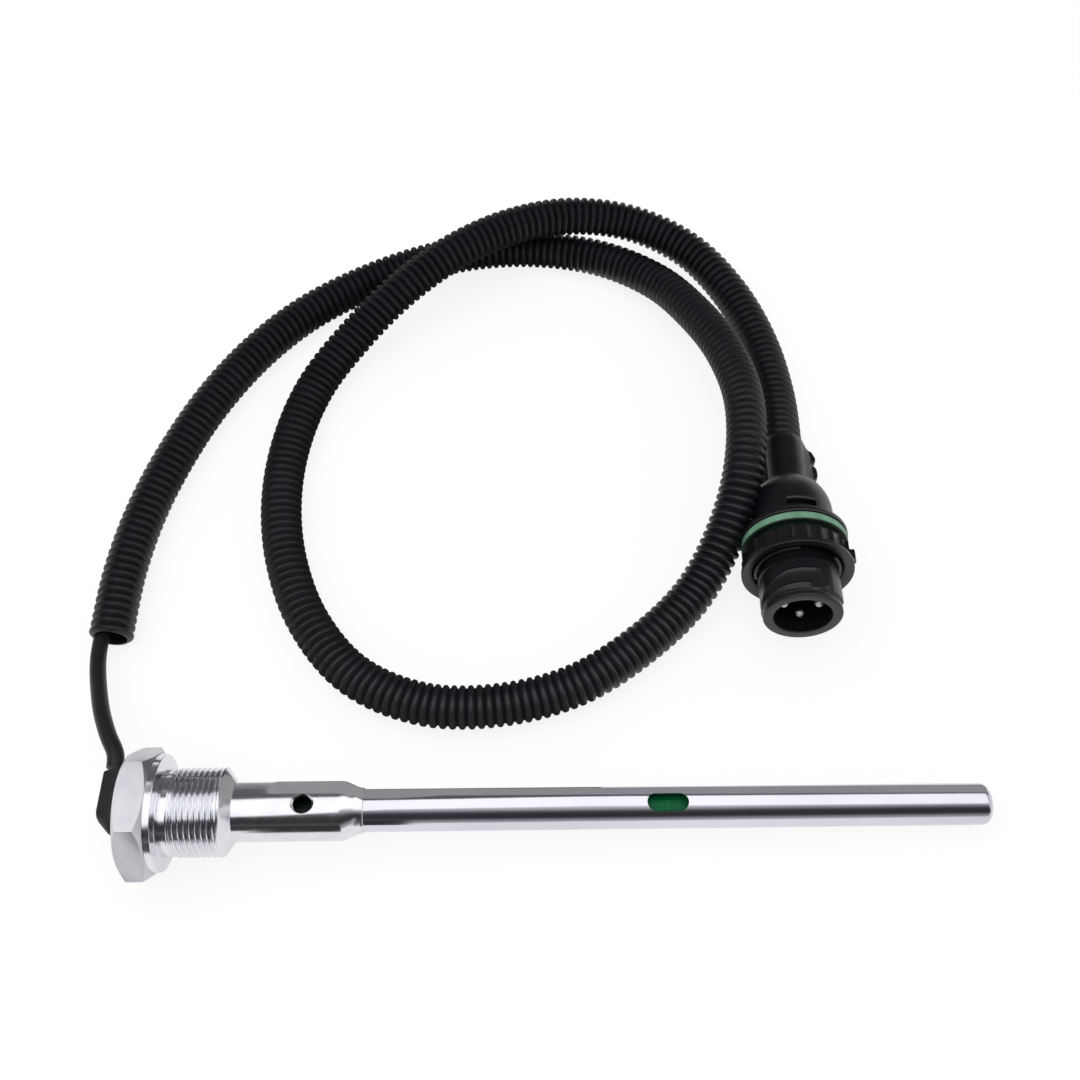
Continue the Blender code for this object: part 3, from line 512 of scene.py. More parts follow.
def ribProfile(share, settings):
    crest, valley = settings["diameter"] / 2, settings["valleyDiameter"] / 2
    wave = 0.5 - 0.5 * math.cos(2 * math.pi * share)
    return valley + (crest - valley) * min(1.0, wave * settings["crestWidth"]) ** settings["crestRound"]


def makeConduit(settings):
    rib = settings["pitch"] / settings["stepsPerRib"]
    path, length = smoothRoute(settings["route"], rib, settings["diameter"] / 2)
    tangents, sides, ups = crossFrames(path)
    turns = turnsAround(settings["sides"])
    cosines, sines = np.cos(turns)[None, :, None], np.sin(turns)[None, :, None]
    radii = np.array([ribProfile(k / settings["stepsPerRib"] % 1.0, settings) for k in range(len(path))])
    radii = radii[:, None, None]
    outside = path[:, None, :] + radii * (cosines * sides[:, None, :] + sines * ups[:, None, :])
    deep = round(settings["mouthDepth"] / rib)
    bore = settings["mouthBore"] / 2
    inner = path[deep::-1, None, :] + bore * (cosines * sides[deep::-1, None, :] + sines * ups[deep::-1, None, :])
    rows = np.concatenate([inner, outside])
    conduit = gridPiece("conduitRibbed", rows, conduitPlastic, None, 60, caps=True)
    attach(conduit, "sensor")
    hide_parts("conduit")
    return conduit, path, length


cable, cablePath, cableLength = makeCable(cableSettings)
conduit, conduitPath, conduitLength = makeConduit(conduitSettings)
print(f"cords made: cable {cableLength:.3f} m, conduit {conduitLength:.3f} m")


# Probe: the axis runs along local X from the seating face of the hex

probePlace = Matrix.Translation((-0.1072477722, 0.0, 0.0159810186)) @ Euler(
    (0.0, math.radians(2.568271252), 0.0)).to_matrix().to_4x4()

plugSettings = {
    "acrossFlats": 32.0 * mm,
    "thickness": 7.8 * mm,
    "chamferCircle": 31.8 * mm,
    "chamferDegrees": 33.0,
    "chamferReach": 1.02,
    "edgeRound": 0.18 * mm,
    "collarRadius": 15.7 * mm,
    "collarHeight": 1.9 * mm,
    "neckRadius": 11.7 * mm,
    "threadStart": 4.95 * mm,
    "threadEnd": 18.0 * mm,
    "threadRadius": 12.0 * mm,
    "threadPitch": 1.5 * mm,
    "threadDepth": 0.85 * mm,
    "flankSlope": 2.24,
    "runIn": 0.9 * mm,
    "runOut": 1.0 * mm,
    "noseLength": 3.0 * mm,
    "noseShape": ((0.03, 0.985), (0.1, 0.95), (0.2, 0.87), (0.35, 0.71), (0.5, 0.54), (0.65, 0.37), (0.8, 0.2),
                  (0.9, 0.08), (0.95, 0.025), (1.0, 0.0)),
    "sleeveRadius": 8.0 * mm,
    "crimpStart": 49.4 * mm,
    "crimpLength": 6.2 * mm,
    "dents": 8,
    "dentDepth": 0.16 * mm,
    "dentPlace": 0.72,
    "dentWidth": 0.12,
    "lipRadius": 6.1 * mm,
    "boreRadius": 6.05 * mm,
    "pocketRadius": 7.0 * mm,
    "ventCentre": 39.65 * mm,
    "ventRadius": 2.5 * mm,
    "ventSinkRadius": 3.2 * mm,
    "ventSinkDepth": 0.7 * mm,
}


def makeHexHead(settings):
    corner = settings["acrossFlats"] / 2 / math.cos(math.radians(30))
    thickness = settings["thickness"]
    profile = [(-thickness, corner), (0.0, corner)]
    head = turnedPiece("plugHexHead", profile, 6, zincDrawn, probePlace, closed=False)
    outside = corner * settings["chamferReach"]
    circle = settings["chamferCircle"] / 2
    depth = (outside - circle) * math.tan(math.radians(settings["chamferDegrees"]))
    chamfer = turnedPiece("chamferTool", [
        (-thickness, circle), (depth - thickness, outside), (-depth, outside), (0.0, circle),
    ], 144, zincDrawn, probePlace, closed=False)
    combineMeshes(head, chamfer, "INTERSECT")
    pocket = turnedPiece("pocketTool", [
        (-thickness - mm, settings["pocketRadius"]), (mm, settings["pocketRadius"]),
    ], 64, zincDrawn, probePlace, closed=False)
    combineMeshes(head, pocket, "DIFFERENCE")
    bevelEdges(head, settings["edgeRound"])
    shadeSmooth(head.data, 25)
    return head


def makeSpigot(settings):
    start, end = settings["threadStart"], settings["threadEnd"]
    crest, depth, pitch = settings["threadRadius"], settings["threadDepth"], settings["threadPitch"]
    sides = 144
    turns = turnsAround(sides)

    def threadRadius(along):
        phase = (along / pitch - turns / (2 * math.pi)) % 1.0
        groove = np.clip((0.5 - np.abs(phase - 0.5)) * settings["flankSlope"], 0.0, 1.0)
        fadeIn = min(1.0, max(0.0, (along - start) / settings["runIn"]))
        fadeOut = min(1.0, max(0.0, (end - along) / settings["runOut"]))
        return crest - depth * groove * fadeIn * fadeOut - depth * (1 - fadeIn) * 0.6

    collar, height, neck = settings["collarRadius"], settings["collarHeight"], settings["neckRadius"]
    profile = [(-0.6 * mm, settings["pocketRadius"] + 0.02 * mm), (-0.6 * mm, collar)]
    profile += roundEdge(height - 0.2 * mm, collar - 0.2 * mm, 0.2 * mm, 0, 90, 4)
    profile += [(height, neck + 0.4 * mm), (height + 0.1 * mm, neck + 0.1 * mm), (height + 0.3 * mm, neck)]
    profile += [(start - 0.35 * mm, neck), (start - 0.1 * mm, neck - 0.1 * mm)]
    rows = turnedRows(profile, sides)
    stations = round((end - start) / (pitch / 16))
    for k in range(stations + 1):
        along = start + (end - start) * k / stations
        rows.append(ringRow(along, threadRadius(along), turns))
    sleeve, nose = settings["sleeveRadius"], settings["noseLength"]
    profile = [(end + nose * along, sleeve + (crest - sleeve) * rise) for along, rise in settings["noseShape"]]
    noseEnd, steps = profile[-1][0], 24
    crimpStart, crimp, lip, bore = pick(settings, "crimpStart", "crimpLength", "lipRadius", "boreRadius")
    profile += [(noseEnd + (crimpStart - noseEnd) * k / steps, sleeve) for k in range(1, steps + 1)]
    for k in range(1, steps + 1):
        share = k / steps
        drop = (sleeve - lip) * (1 - math.cos(math.pi * share)) / 2
        dent = settings["dentDepth"] * math.exp(-((share - settings["dentPlace"]) / settings["dentWidth"]) ** 2)

        def crimped(angles, drop=drop, dent=dent):
            return sleeve - drop - dent * (0.5 + 0.5 * np.cos(angles * settings["dents"] + 0.5)) ** 2
        profile.append((crimpStart + crimp * share, crimped))
    finish = crimpStart + crimp
    profile += [(finish + 0.12 * mm, lip - 0.12 * mm), (finish + 0.12 * mm, bore - 0.25 * mm),
                (finish - 1.0 * mm, bore), (6.0 * mm, bore), (6.0 * mm, settings["pocketRadius"] + 0.02 * mm)]
    rows += turnedRows(profile, sides)
    spigot = gridPiece("plugThreadedSleeve", rows, zincTurned, probePlace, 40, closeAlong=True)

    hole, sink = settings["ventRadius"], settings["ventSinkRadius"]
    top, sinkDepth = settings["sleeveRadius"], settings["ventSinkDepth"]
    angles = turnsAround(48)
    rings = []
    for level, radius in ((0.0, hole), (top - sinkDepth, hole), (top + 0.02 * mm, sink), (top + mm, sink)):
        rings.append(np.stack([settings["ventCentre"] + radius * np.cos(angles), radius * np.sin(angles),
                               np.full(48, level)], axis=-1))
    tool = gridPiece("ventTool", rings, zincTurned, probePlace, caps=True)
    combineMeshes(spigot, tool, "DIFFERENCE")
    roundNormals(spigot, 40)
    return spigot


tubeSettings = {
    "start": 46.45 * mm,
    "end": 230.45 * mm,
    "radius": 5.75 * mm,
    "wall": 0.8 * mm,
    "rimRadius": 2.0 * mm,
    "windowCentre": 138.95 * mm,
    "windowLength": 11.5 * mm,
    "windowWidth": 5.0 * mm,
    "sides": 128,
}


def makeProbeTube(settings):
    outer, rim, end = settings["radius"], settings["rimRadius"], settings["end"]
    profile = [(settings["start"], outer)]
    profile += roundEdge(end - rim, outer - rim, rim, 0, 90, 12)
    profile += roundEdge(end - rim, outer - rim, rim - settings["wall"], 90, 0, 8)
    profile.append((settings["start"], outer - settings["wall"]))
    tube = turnedPiece("polishedTube", profile, settings["sides"], stainless, probePlace, sharpDegrees=40)
    half = settings["windowWidth"] / 2
    straight = (settings["windowLength"] - settings["windowWidth"]) / 2
    rings = []
    for level in (0.0, outer + mm):
        ring = []
        for side, first in ((1, -90), (-1, 90)):
            for k in range(25):
                angle = math.radians(first + 180 * k / 24)
                ring.append((settings["windowCentre"] + side * straight + half * math.cos(angle),
                             half * math.sin(angle), level))
        rings.append(ring)
    tool = gridPiece("windowTool", rings, stainless, probePlace, caps=True)
    combineMeshes(tube, tool, "DIFFERENCE")
    roundNormals(tube, 40)
    return tube


for piece, nodes, slot in (
    (makeHexHead(plugSettings), ("mounting_plug",), "zinc_plated_steel"),
    (makeSpigot(plugSettings), ("mounting_plug",), "zinc_plated_steel"),
    (makeProbeTube(tubeSettings), ("probe_tube",), "stainless_tube"),
):
    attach(piece, "sensor")
    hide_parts(*nodes)
print("probe made")


# Connector: the axis runs along local X from the front face of the ring nut, towards the pins

connectorPlace = Matrix.Translation((0.0760, 0.0677, 0.0180303174)) @ Euler(
    (0.0, math.radians(-8.2), math.radians(-93.4))).to_matrix().to_4x4()

bodySettings = {
    "sides": 180,
    "skirtBack": -21.9 * mm,
    "skirtRadius": 11.05 * mm,
    "tailRadius": 7.6 * mm,
    "flangeBack": -13.9 * mm,
    "flangeFront": -12.0 * mm,
    "flangeRadius": 16.3 * mm,
    "bossFace": -2.5 * mm,
    "bossRadius": 13.2 * mm,
    "pocketFloor": -9.0 * mm,
    "pockets": ((42, 97), (198, 236), (304, 342)),
    "rampRadius": 12.1 * mm,
    "rootRadius": 11.45 * mm,
    "ridgeHeight": 0.6 * mm,
    "ridgeRise": 0.8 * mm,
    "ridgeFall": 1.1 * mm,
    "ridgesFrom": 2.6 * mm,
    "rowStep": 0.14 * mm,
    "rimRadius": 11.65 * mm,
    "length": 15.4 * mm,
    "socketRadius": 8.6 * mm,
    "socketBack": -7.8 * mm,
}

# Where each bayonet ridge starts: turn in degrees from the right-hand side, and millimetres along
bayonetRidges = (
    ((70, 90, 120, 148, 160, 170, 190), (5.6, 5.7, 5.9, 7.6, 9.0, 10.2, 12.4)),
    ((84, 93, 120, 146, 165, 185), (10.9, 10.9, 11.0, 11.3, 12.7, 14.2)),
    ((58, 90), (10.9, 13.9)),
)

ringSettings = {
    "low": -2.6 * mm,
    "high": -0.2 * mm,
    "inside": 11.95 * mm,
    "outside": 13.05 * mm,
    "round": 0.2 * mm,
    "arcs": ((97, 198), (-18, 42)),
}


def arcPiece(name, section, firstDegrees, lastDegrees, steps, sharpDegrees=35):
    rows = []
    for k in range(steps + 1):
        turn = math.radians(firstDegrees + (lastDegrees - firstDegrees) * k / steps)
        rows.append([(along, radius * math.cos(turn), radius * math.sin(turn)) for along, radius in section])
    return gridPiece(name, rows, nylon, connectorPlace, sharpDegrees, caps=True)


def ridgeShape(along, turns, settings):
    degrees = np.degrees(turns)
    height = settings["ridgeHeight"]
    shape = np.zeros_like(turns)
    for lap in (0.0, 180.0):
        here = (degrees - lap) % 360
        shape -= height * np.clip((here - 52) / 14, 0, 1) * np.clip((200 - here) / 10, 0, 1)
        for stops, places in bayonetRidges:
            past = along - np.interp(here, stops, places) * mm
            ends = np.clip((here - stops[0]) / 8, 0, 1) * np.clip((stops[-1] - here) / 6, 0, 1)
            rise = np.clip(0.5 + past / settings["ridgeRise"], 0, 1)
            shape += height * ends * rise * np.exp(-np.maximum(past - 0.3 * mm, 0.0) / settings["ridgeFall"])
    return np.clip(shape, -height, 0.0)


def makeConnectorBody(settings):
    sides = settings["sides"]
    turns = turnsAround(sides)
    degrees = np.degrees(turns)
    skirtBack, skirt, tail = pick(settings, "skirtBack", "skirtRadius", "tailRadius")
    back, front, flange = pick(settings, "flangeBack", "flangeFront", "flangeRadius")
    face, boss, root, ramp = pick(settings, "bossFace", "bossRadius", "rootRadius", "rampRadius")
    rim, end, socket = pick(settings, "rimRadius", "length", "socketRadius")
    rows = turnedRows([
        (skirtBack, tail), (skirtBack, skirt - 0.2 * mm), (skirtBack + 0.2 * mm, skirt), (back, skirt),
        (back, flange - 0.6 * mm), (back + 0.18 * mm, flange - 0.18 * mm), (back + 0.6 * mm, flange),
        (front - 0.25 * mm, flange), (front, flange - 0.25 * mm),
        (front, boss), (face - 0.2 * mm, boss), (face, boss - 0.15 * mm),
    ], sides)
    floorLevel = np.full(sides, face)
    for first, last in settings["pockets"]:
        floorLevel[(degrees > first) & (degrees < last)] = settings["pocketFloor"]
    rows += [ringRow(floorLevel, radius, turns) for radius in (boss - 0.25 * mm, root)]
    for along in np.arange(face + 0.1 * mm, end - 1.9 * mm, settings["rowStep"]):
        base = np.interp(along, [0.7 * mm, 1.5 * mm, 2.1 * mm, 12.6 * mm, 13.3 * mm],
                         [root, root + 0.15 * mm, ramp, ramp, root - 0.1 * mm])
        ridges = ridgeShape(along, turns, settings) if along > settings["ridgesFrom"] else 0.0
        rows.append(ringRow(along, base + ridges, turns))
    profile = [(end - 1.7 * mm, rim - 0.25 * mm), (end - 1.5 * mm, rim - 0.05 * mm), (end - 1.3 * mm, rim)]
    profile += roundEdge(end - 0.45 * mm, rim - 0.45 * mm, 0.45 * mm, 0, 90, 6)
    profile += roundEdge(end - 0.3 * mm, socket + 0.3 * mm, 0.3 * mm, 90, 180, 5)
    profile += [(settings["socketBack"], socket), (settings["socketBack"], settings["tailRadius"])]
    rows += turnedRows(profile, sides)
    body = gridPiece("connectorBarrel", rows, nylon, connectorPlace, 38, closeAlong=True)
    # The socket's inner faces take the matt nylon, whose darker colour is painted shade
    body.data.materials.append(mattShadedNylon)
    for face in body.data.polygons:
        reach = math.hypot(face.center.y, face.center.z)
        if reach < socket + 0.1 * mm and settings["socketBack"] < face.center.x < end - 0.3 * mm:
            face.material_index = 1
    return body


def makeBossRings(settings):
    low, high, inside, outside, edge = pick(settings, "low", "high", "inside", "outside", "round")
    section = [(low, inside)] + roundEdge(high - edge, inside + edge, edge, 180, 90, 3)
    section += roundEdge(high - edge, outside - edge, edge, 90, 0, 3) + [(low, outside)]
    return [arcPiece(f"bossRing{number}", section, first, last, 60)
            for number, (first, last) in enumerate(settings["arcs"], 1)]


nutSettings = {
    "discRadius": 16.8 * mm,
    "discBack": -1.5 * mm,
    "gripRadius": 16.4 * mm,
    "back": -7.0 * mm,
    "bore": 13.5 * mm,
    "boreChamfer": 0.6 * mm,
    "dish": 0.35 * mm,
    "scallops": 24,
    "scallopDepth": 0.9 * mm,
    "sides": 288,
    "notchDegrees": (165, 33),
    "notchHalf": 2.4,
    "notchDepth": 1.9 * mm,
}

lugSettings = {"back": -5.6 * mm, "front": -2.0 * mm, "low": 15.0 * mm, "high": 17.5 * mm, "degrees": (11, 22)}


def makeRingNut(settings):
    disc, bore, back = settings["discRadius"], settings["bore"], settings["back"]

    def grip(lower):
        def radius(turns):
            wave = np.abs(np.sin(turns * settings["scallops"] / 2))
            reach = settings["gripRadius"] - lower - settings["scallopDepth"] * np.clip(wave * 1.25, 0, 1) ** 0.8
            for degrees in settings["notchDegrees"]:
                inside = np.abs(np.degrees(turns) - degrees) < settings["notchHalf"]
                reach = np.where(inside, settings["gripRadius"] - settings["notchDepth"], reach)
            return reach
        return radius

    step = settings["discBack"]
    profile = [(back, bore), (back, grip(0.4 * mm)), (back + 0.12 * mm, grip(0.12 * mm)), (back + 0.4 * mm, grip(0.0))]
    profile += [(step - 0.3 * mm, grip(0.0)), (step - 0.05 * mm, grip(-0.1 * mm))]
    profile += [(step, disc - 0.2 * mm), (step + 0.2 * mm, disc)]
    profile += roundEdge(-0.3 * mm, disc - 0.3 * mm, 0.3 * mm, 0, 90, 5)
    dish, chamfer = settings["dish"], settings["boreChamfer"]
    profile += [(-dish, bore + chamfer), (-dish - chamfer, bore)]
    return turnedPiece("scallopedNut", profile, settings["sides"], nylon, connectorPlace, sharpDegrees=38)


def makeNutLug(settings):
    back, front, low, high = pick(settings, "back", "front", "low", "high")
    section = [(back, low), (back + 0.4 * mm, high - 0.2 * mm), (back + 0.8 * mm, high), (front - 0.5 * mm, high),
               (front, high - 0.5 * mm), (front, low)]
    return arcPiece("nutLug", section, *settings["degrees"], 12)


sealSettings = {
    "radius": 16.1 * mm, "inside": 13.5 * mm, "front": -7.3 * mm, "back": -11.7 * mm, "round": 0.6 * mm,
    "lipFront": -8.75 * mm, "grooveRadius": 14.2 * mm,
}


def makeFlangeSeal(settings):
    back, lip, front = pick(settings, "back", "lipFront", "front")
    radius, edge, groove, inside = pick(settings, "radius", "round", "grooveRadius", "inside")
    profile = [(back, inside)]
    profile += roundEdge(back + edge, radius - edge, edge, -90, 0, 5)
    profile += roundEdge(lip - edge, radius - edge, edge, 0, 90, 5)
    profile += [(lip + 0.1 * mm, groove), (front, groove), (front, inside)]
    return turnedPiece("siliconeFlangeSeal", profile, 144, shadedFlangeSilicone, connectorPlace)


pinSettings = {
    "radius": 1.35 * mm, "circle": 5.2 * mm, "tip": 11.7 * mm, "tail": -15.6 * mm, "turnDegrees": 4.5,
    "domeRadius": 1.1 * mm, "sleeveRadius": 1.5 * mm, "sleeveFront": 10.3 * mm, "sleeveBack": 1.9 * mm,
    "sleeveGap": 0.02 * mm,
}


def makePins(settings):
    radius, dome, tip = pick(settings, "radius", "domeRadius", "tip")
    inner, outer = radius + settings["sleeveGap"], settings["sleeveRadius"]
    back, front = settings["sleeveBack"], settings["sleeveFront"]
    pins = []
    for number in range(4):
        turn = math.radians(settings["turnDegrees"] + 90 * number)
        offset = Matrix.Translation((0.0, settings["circle"] * math.cos(turn), settings["circle"] * math.sin(turn)))
        profile = [(settings["tail"], radius)] + roundEdge(tip - dome, radius - dome, dome, 0, 84, 9)
        pin = turnedPiece(f"tinnedPin{number + 1}", profile, 32, tinnedPin, connectorPlace @ offset, closed=False)
        # The pin sleeves take the matt nylon too, with its painted shade
        sleeve = turnedPiece(f"pinSleeve{number + 1}", [
            (back, inner), (back, outer), (front - 0.2 * mm, outer), (front, outer - 0.1 * mm), (front, inner),
        ], 32, mattShadedNylon, connectorPlace @ offset)
        pins.append((pin, sleeve))
    return pins


shellSettings = {
    "rear": -51.5 * mm,
    "front": -14.2 * mm,
    "neckRadius": 6.9 * mm,
    "neckBore": 5.3 * mm,
    "bellBore": 11.35 * mm,
    "boreEnd": -22.2 * mm,
    "partingGap": 0.3 * mm,
    "bell": ((-34.3, 6.9), (-33.7, 6.98), (-33.3, 7.25), (-33.0, 7.8), (-32.6, 8.45), (-31.9, 9.15), (-31.0, 9.85),
             (-29.9, 10.6), (-28.6, 11.25), (-27.2, 11.85), (-25.6, 12.35), (-23.8, 12.7), (-21.8, 12.85)),
    "recessBack": -19.1 * mm,
    "recessFront": -16.8 * mm,
    "recessCentre": 0.7 * mm,
    "recessHalf": 4.5 * mm,
    "recessRound": 0.75 * mm,
}


def makeBackshell(settings):
    rear, front, neck = settings["rear"], settings["front"], settings["neckRadius"]
    section = [(rear, settings["neckBore"]), (rear, neck - 0.4 * mm), (rear + 0.12 * mm, neck - 0.12 * mm),
               (rear + 0.4 * mm, neck)]
    section += [(rear + (settings["bell"][0][0] * mm - rear) * k / 6, neck) for k in range(1, 6)]
    section += [(a * mm, r * mm) for a, r in settings["bell"]]
    bell = settings["bell"][-1][1] * mm
    section += [(front - 4 * mm, bell), (front - 0.35 * mm, bell), (front - 0.1 * mm, bell - 0.1 * mm),
                (front, bell - 0.35 * mm), (front, settings["bellBore"]), (settings["boreEnd"], settings["bellBore"]),
                (-30.2 * mm, 7.7 * mm), (-32.2 * mm, settings["neckBore"])]
    halves = []
    for name, first, side in (("bellUpperHalf", 0.0, 1), ("bellLowerHalf", 180.0, -1)):
        half = arcPiece(name, section, first, first + 180, 90, 38)
        half.data.transform(Matrix.Translation((0.0, 0.0, side * settings["partingGap"] / 2)))
        halves.append(half)

    middle, reach = settings["recessCentre"], settings["recessHalf"]
    corner, low, high = settings["recessRound"], settings["recessBack"], settings["recessFront"]
    outline = []
    for alongCentre, sideCentre, start in (
        (high - corner, middle + reach - corner, 0), (low + corner, middle + reach - corner, 90),
        (low + corner, middle - reach + corner, 180), (high - corner, middle - reach + corner, 270),
    ):
        for k in range(7):
            turn = math.radians(start + 15 * k)
            outline.append((alongCentre + corner * math.cos(turn), sideCentre + corner * math.sin(turn)))
    rings = [[(a, y, level) for a, y in outline] for level in (9.0 * mm, 14.0 * mm)]
    tool = gridPiece("recessTool", rings, nylon, connectorPlace, caps=True)
    combineMeshes(halves[0], tool, "DIFFERENCE")
    shadeSmooth(halves[0].data, 38)
    return halves


lipSettings = {"back": -20.2 * mm, "front": -19.05 * mm, "low": 12.4 * mm, "high": 13.4 * mm, "degrees": (60, 107)}


def makeRecessLip(settings):
    low, high, back, front = pick(settings, "low", "high", "back", "front")
    section = [(back, low), (back + 0.3 * mm, high - 0.2 * mm), (back + 0.45 * mm, high), (back + 0.6 * mm, high),
               (front - 0.15 * mm, high - 0.35 * mm), (front, high - 0.55 * mm), (front, low)]
    return arcPiece("recessLip", section, *settings["degrees"], 40)


latchSettings = {
    "stations": (-51.4, -50.3, -49.3, -48.4, -46.0, -42.0, -38.0, -34.0, -31.8),
    "reach": (0.1, 0.75, 1.3, 1.8, 2.1, 2.2, 2.3, 2.5, 2.6),
    "toothReach": 3.3 * mm,
    "teeth": ((-48.6, -43.7), (-42.2, -36.9)),
    "neckRadius": shellSettings["neckRadius"],
    "root": 5.6 * mm,
    "gap": shellSettings["partingGap"] / 2,
}


def makeLatch(settings):
    neck, gap, root = settings["neckRadius"], settings["gap"], settings["root"]
    pieces = []
    for name, side in (("latchUpper", 1), ("latchLower", -1)):
        rows = []
        for along, reach in zip(settings["stations"], settings["reach"]):
            out = neck + reach * mm
            rows.append([(along * mm, y, side * z) for y, z in (
                (root, gap), (out, gap), (out, 0.9 * mm), (out - 0.25 * mm, 1.25 * mm),
                (neck - 0.2 * mm + 0.5 * reach * mm, 2.0 * mm), (root, 3.9 * mm))])
        pieces.append(gridPiece(name, rows, nylon, connectorPlace, 55, caps=True))
        for number, (first, last) in enumerate(settings["teeth"], 1):
            inner, outer = neck + 0.9 * mm, settings["toothReach"] + neck
            rows = []
            for share, back in ((0.0, 1.0), (0.12, 0.35), (0.3, 0.05), (0.6, 0.0), (0.88, 0.2), (1.0, 0.8)):
                along = (first + (last - first) * share) * mm
                out = outer - back * mm - (0.5 * mm if number == 1 and share < 0.5 else 0.0)
                rows.append([(along, y, side * z) for y, z in (
                    (inner, gap), (out, gap), (out, 1.0 * mm), (out - 0.3 * mm, 1.35 * mm), (inner, 1.35 * mm))])
            pieces.append(gridPiece(f"{name}Tooth{number}", rows, nylon, connectorPlace, 40, caps=True))
    return pieces


hingeSettings = {
    "back": -51.2 * mm, "front": -33.0 * mm, "reach": 1.4 * mm, "root": 5.6 * mm,
    "neckRadius": shellSettings["neckRadius"], "gap": shellSettings["partingGap"] / 2,
}


def makeHinge(settings):
    root, gap = settings["root"], settings["gap"]
    pieces = []
    for name, side in (("hingeUpper", 1), ("hingeLower", -1)):
        rows = []
        for share, out in ((0.0, 0.1), (0.05, 0.7), (0.5, 0.9), (1.0, 1.0)):
            along = settings["back"] + (settings["front"] - settings["back"]) * share
            reach = -settings["neckRadius"] - settings["reach"] * out
            rows.append([(along, y, side * z) for y, z in (
                (-root, gap), (reach, gap), (reach, 1.2 * mm), (reach + 0.4 * mm, 1.7 * mm), (-root, 3.6 * mm))])
        pieces.append(gridPiece(name, rows, nylon, connectorPlace, 30, caps=True))
    return pieces


bodyPieces = [makeConnectorBody(bodySettings)] + makeBossRings(ringSettings)
ringNut = makeRingNut(nutSettings)
nutLug = makeNutLug(lugSettings)
flangeSeal = makeFlangeSeal(sealSettings)
pins = makePins(pinSettings)
bellHalves = makeBackshell(shellSettings)
upperExtras = [makeRecessLip(lipSettings)]
latchPieces = makeLatch(latchSettings)
hingePieces = makeHinge(hingeSettings)
for piece in latchPieces + hingePieces:
    (upperExtras if "Upper" in piece.name else bellHalves).append(piece)

connectorPieces = []
for pieces, node, body, slot in (
    (bodyPieces, "connector_body", "sensor", "connector_nylon"),
    ([ringNut, nutLug], "ring_nut", "nut", "connector_nylon"),
    ([flangeSeal], "flange_seal", "sensor", "green_seal"),
    ([bellHalves[0]] + upperExtras, "backshell_upper", "sensor", "connector_nylon"),
    (bellHalves[1:], "backshell_lower", "sensor", "connector_nylon"),
):
    for piece in pieces:
        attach(piece, body)
        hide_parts(node)
        connectorPieces.append(piece)
for number, pair in enumerate(pins, 1):
    for piece, slot in zip(pair, ("tinned_pin", "insert_plastic")):
        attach(piece, "sensor")
        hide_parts(f"contact_pin_{number}")
connectorPieces += [pin for pin, sleeve in pins]
print("connector made")


# Finish of the nodes whose own shape is kept

nodeFinishes = {
    "rubber_boot": bootRubber,
    "sensor_carrier": carrierPlastic,
    "potting_plug": potting,
    "upper_spacer": spacerPlastic,
    "tip_spacer": spacerPlastic,
    "sensing_wire": resistanceWire,
    "wire_terminal_a": bareBrass,
    "wire_terminal_b": bareBrass,
    "wire_hook": bareBrass,
    "lead_a": redCore,
    "lead_b": blackCore,
    "core_a": redCore,
    "core_b": blackCore,
    "pin_insert": insertPlastic,
    "wire_seal": sealSilicone,
}
for name, material in nodeFinishes.items():
    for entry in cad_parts[name].material_slots:
        entry.material = material
print("finishes set")


# Studio: white floor, white surroundings, soft light from above, and cards and flags that only show in reflections

studioSettings = {
    "floorHalf": 0.9,
    "floorLevel": -0.0002,
    "floorColour": "#E9E9EA",
    "floorStrength": 1.06,
    "floorGlow": 0.6,
    "floorSeen": 0.8,
    "worldStrength": 0.62,
    "cardHeight": 0.085,
    "cardStrength": 1.3,
    "sideStrength": 0.8,
    "flagHeight": 0.0001,
    "flagStrength": 0.34,
    "darkStrength": 0.1,
    "blackStrength": 0.03,
}


glowWhite = (1.0, 1.0, 1.0, 1.0)


def emissive(name, strength):
    material = bpy.data.materials.new(name)
    material.use_nodes = True
    tree = material.node_tree
    tree.nodes.clear()
    glow = addNode(tree, "ShaderNodeEmission", {"Color": glowWhite, "Strength": strength})
    addNode(tree, "ShaderNodeOutputMaterial", {}, {"Surface": glow.outputs[0]})
    return material


def flatCard(name, corners, material):
    mesh = bpy.data.meshes.new(name)
    mesh.from_pydata(corners, [], [tuple(range(len(corners)))])
    mesh.materials.append(material)
    card = bpy.data.objects.new(name, mesh)
    bpy.context.scene.collection.objects.link(card)
    return card


def levelCorners(height, *places):
    return [(x, y, height) for x, y in places]


def uprightCorners(x, near, far, height):
    return [(x, near, 0.0), (x, far, 0.0), (x, far, height), (x, near, height)]


floorMaterial, floorTree, floorShader = newMaterial("paintedFloor", {
    "Base Color": hexToLinear(studioSettings["floorColour"]), "Roughness": 0.9, "Specular IOR Level": 0.0})
ray = addNode(floorTree, "ShaderNodeLightPath")
mirrored = addNode(floorTree, "ShaderNodeMath", {"operation": "MULTIPLY", 1: studioSettings["floorGlow"]},
                   {0: ray.outputs["Is Glossy Ray"]})
glowShare = addNode(floorTree, "ShaderNodeMath", {"operation": "MULTIPLY_ADD", 1: studioSettings["floorSeen"]},
                    {0: ray.outputs["Is Camera Ray"], 2: mirrored.outputs[0]})
floorGlow = addNode(floorTree, "ShaderNodeEmission", {
    "Color": glowWhite, "Strength": studioSettings["floorStrength"]})
floorMix = addNode(floorTree, "ShaderNodeMixShader", {}, {
    0: glowShare.outputs[0], 1: floorShader.outputs[0], 2: floorGlow.outputs[0]})
floorTree.links.new(floorMix.outputs[0], floorTree.nodes["Material Output"].inputs["Surface"])
half = studioSettings["floorHalf"]
flatCard("studioFloor", levelCorners(studioSettings["floorLevel"], (-half, -half), (half, -half), (half, half),
                                     (-half, half)), floorMaterial)

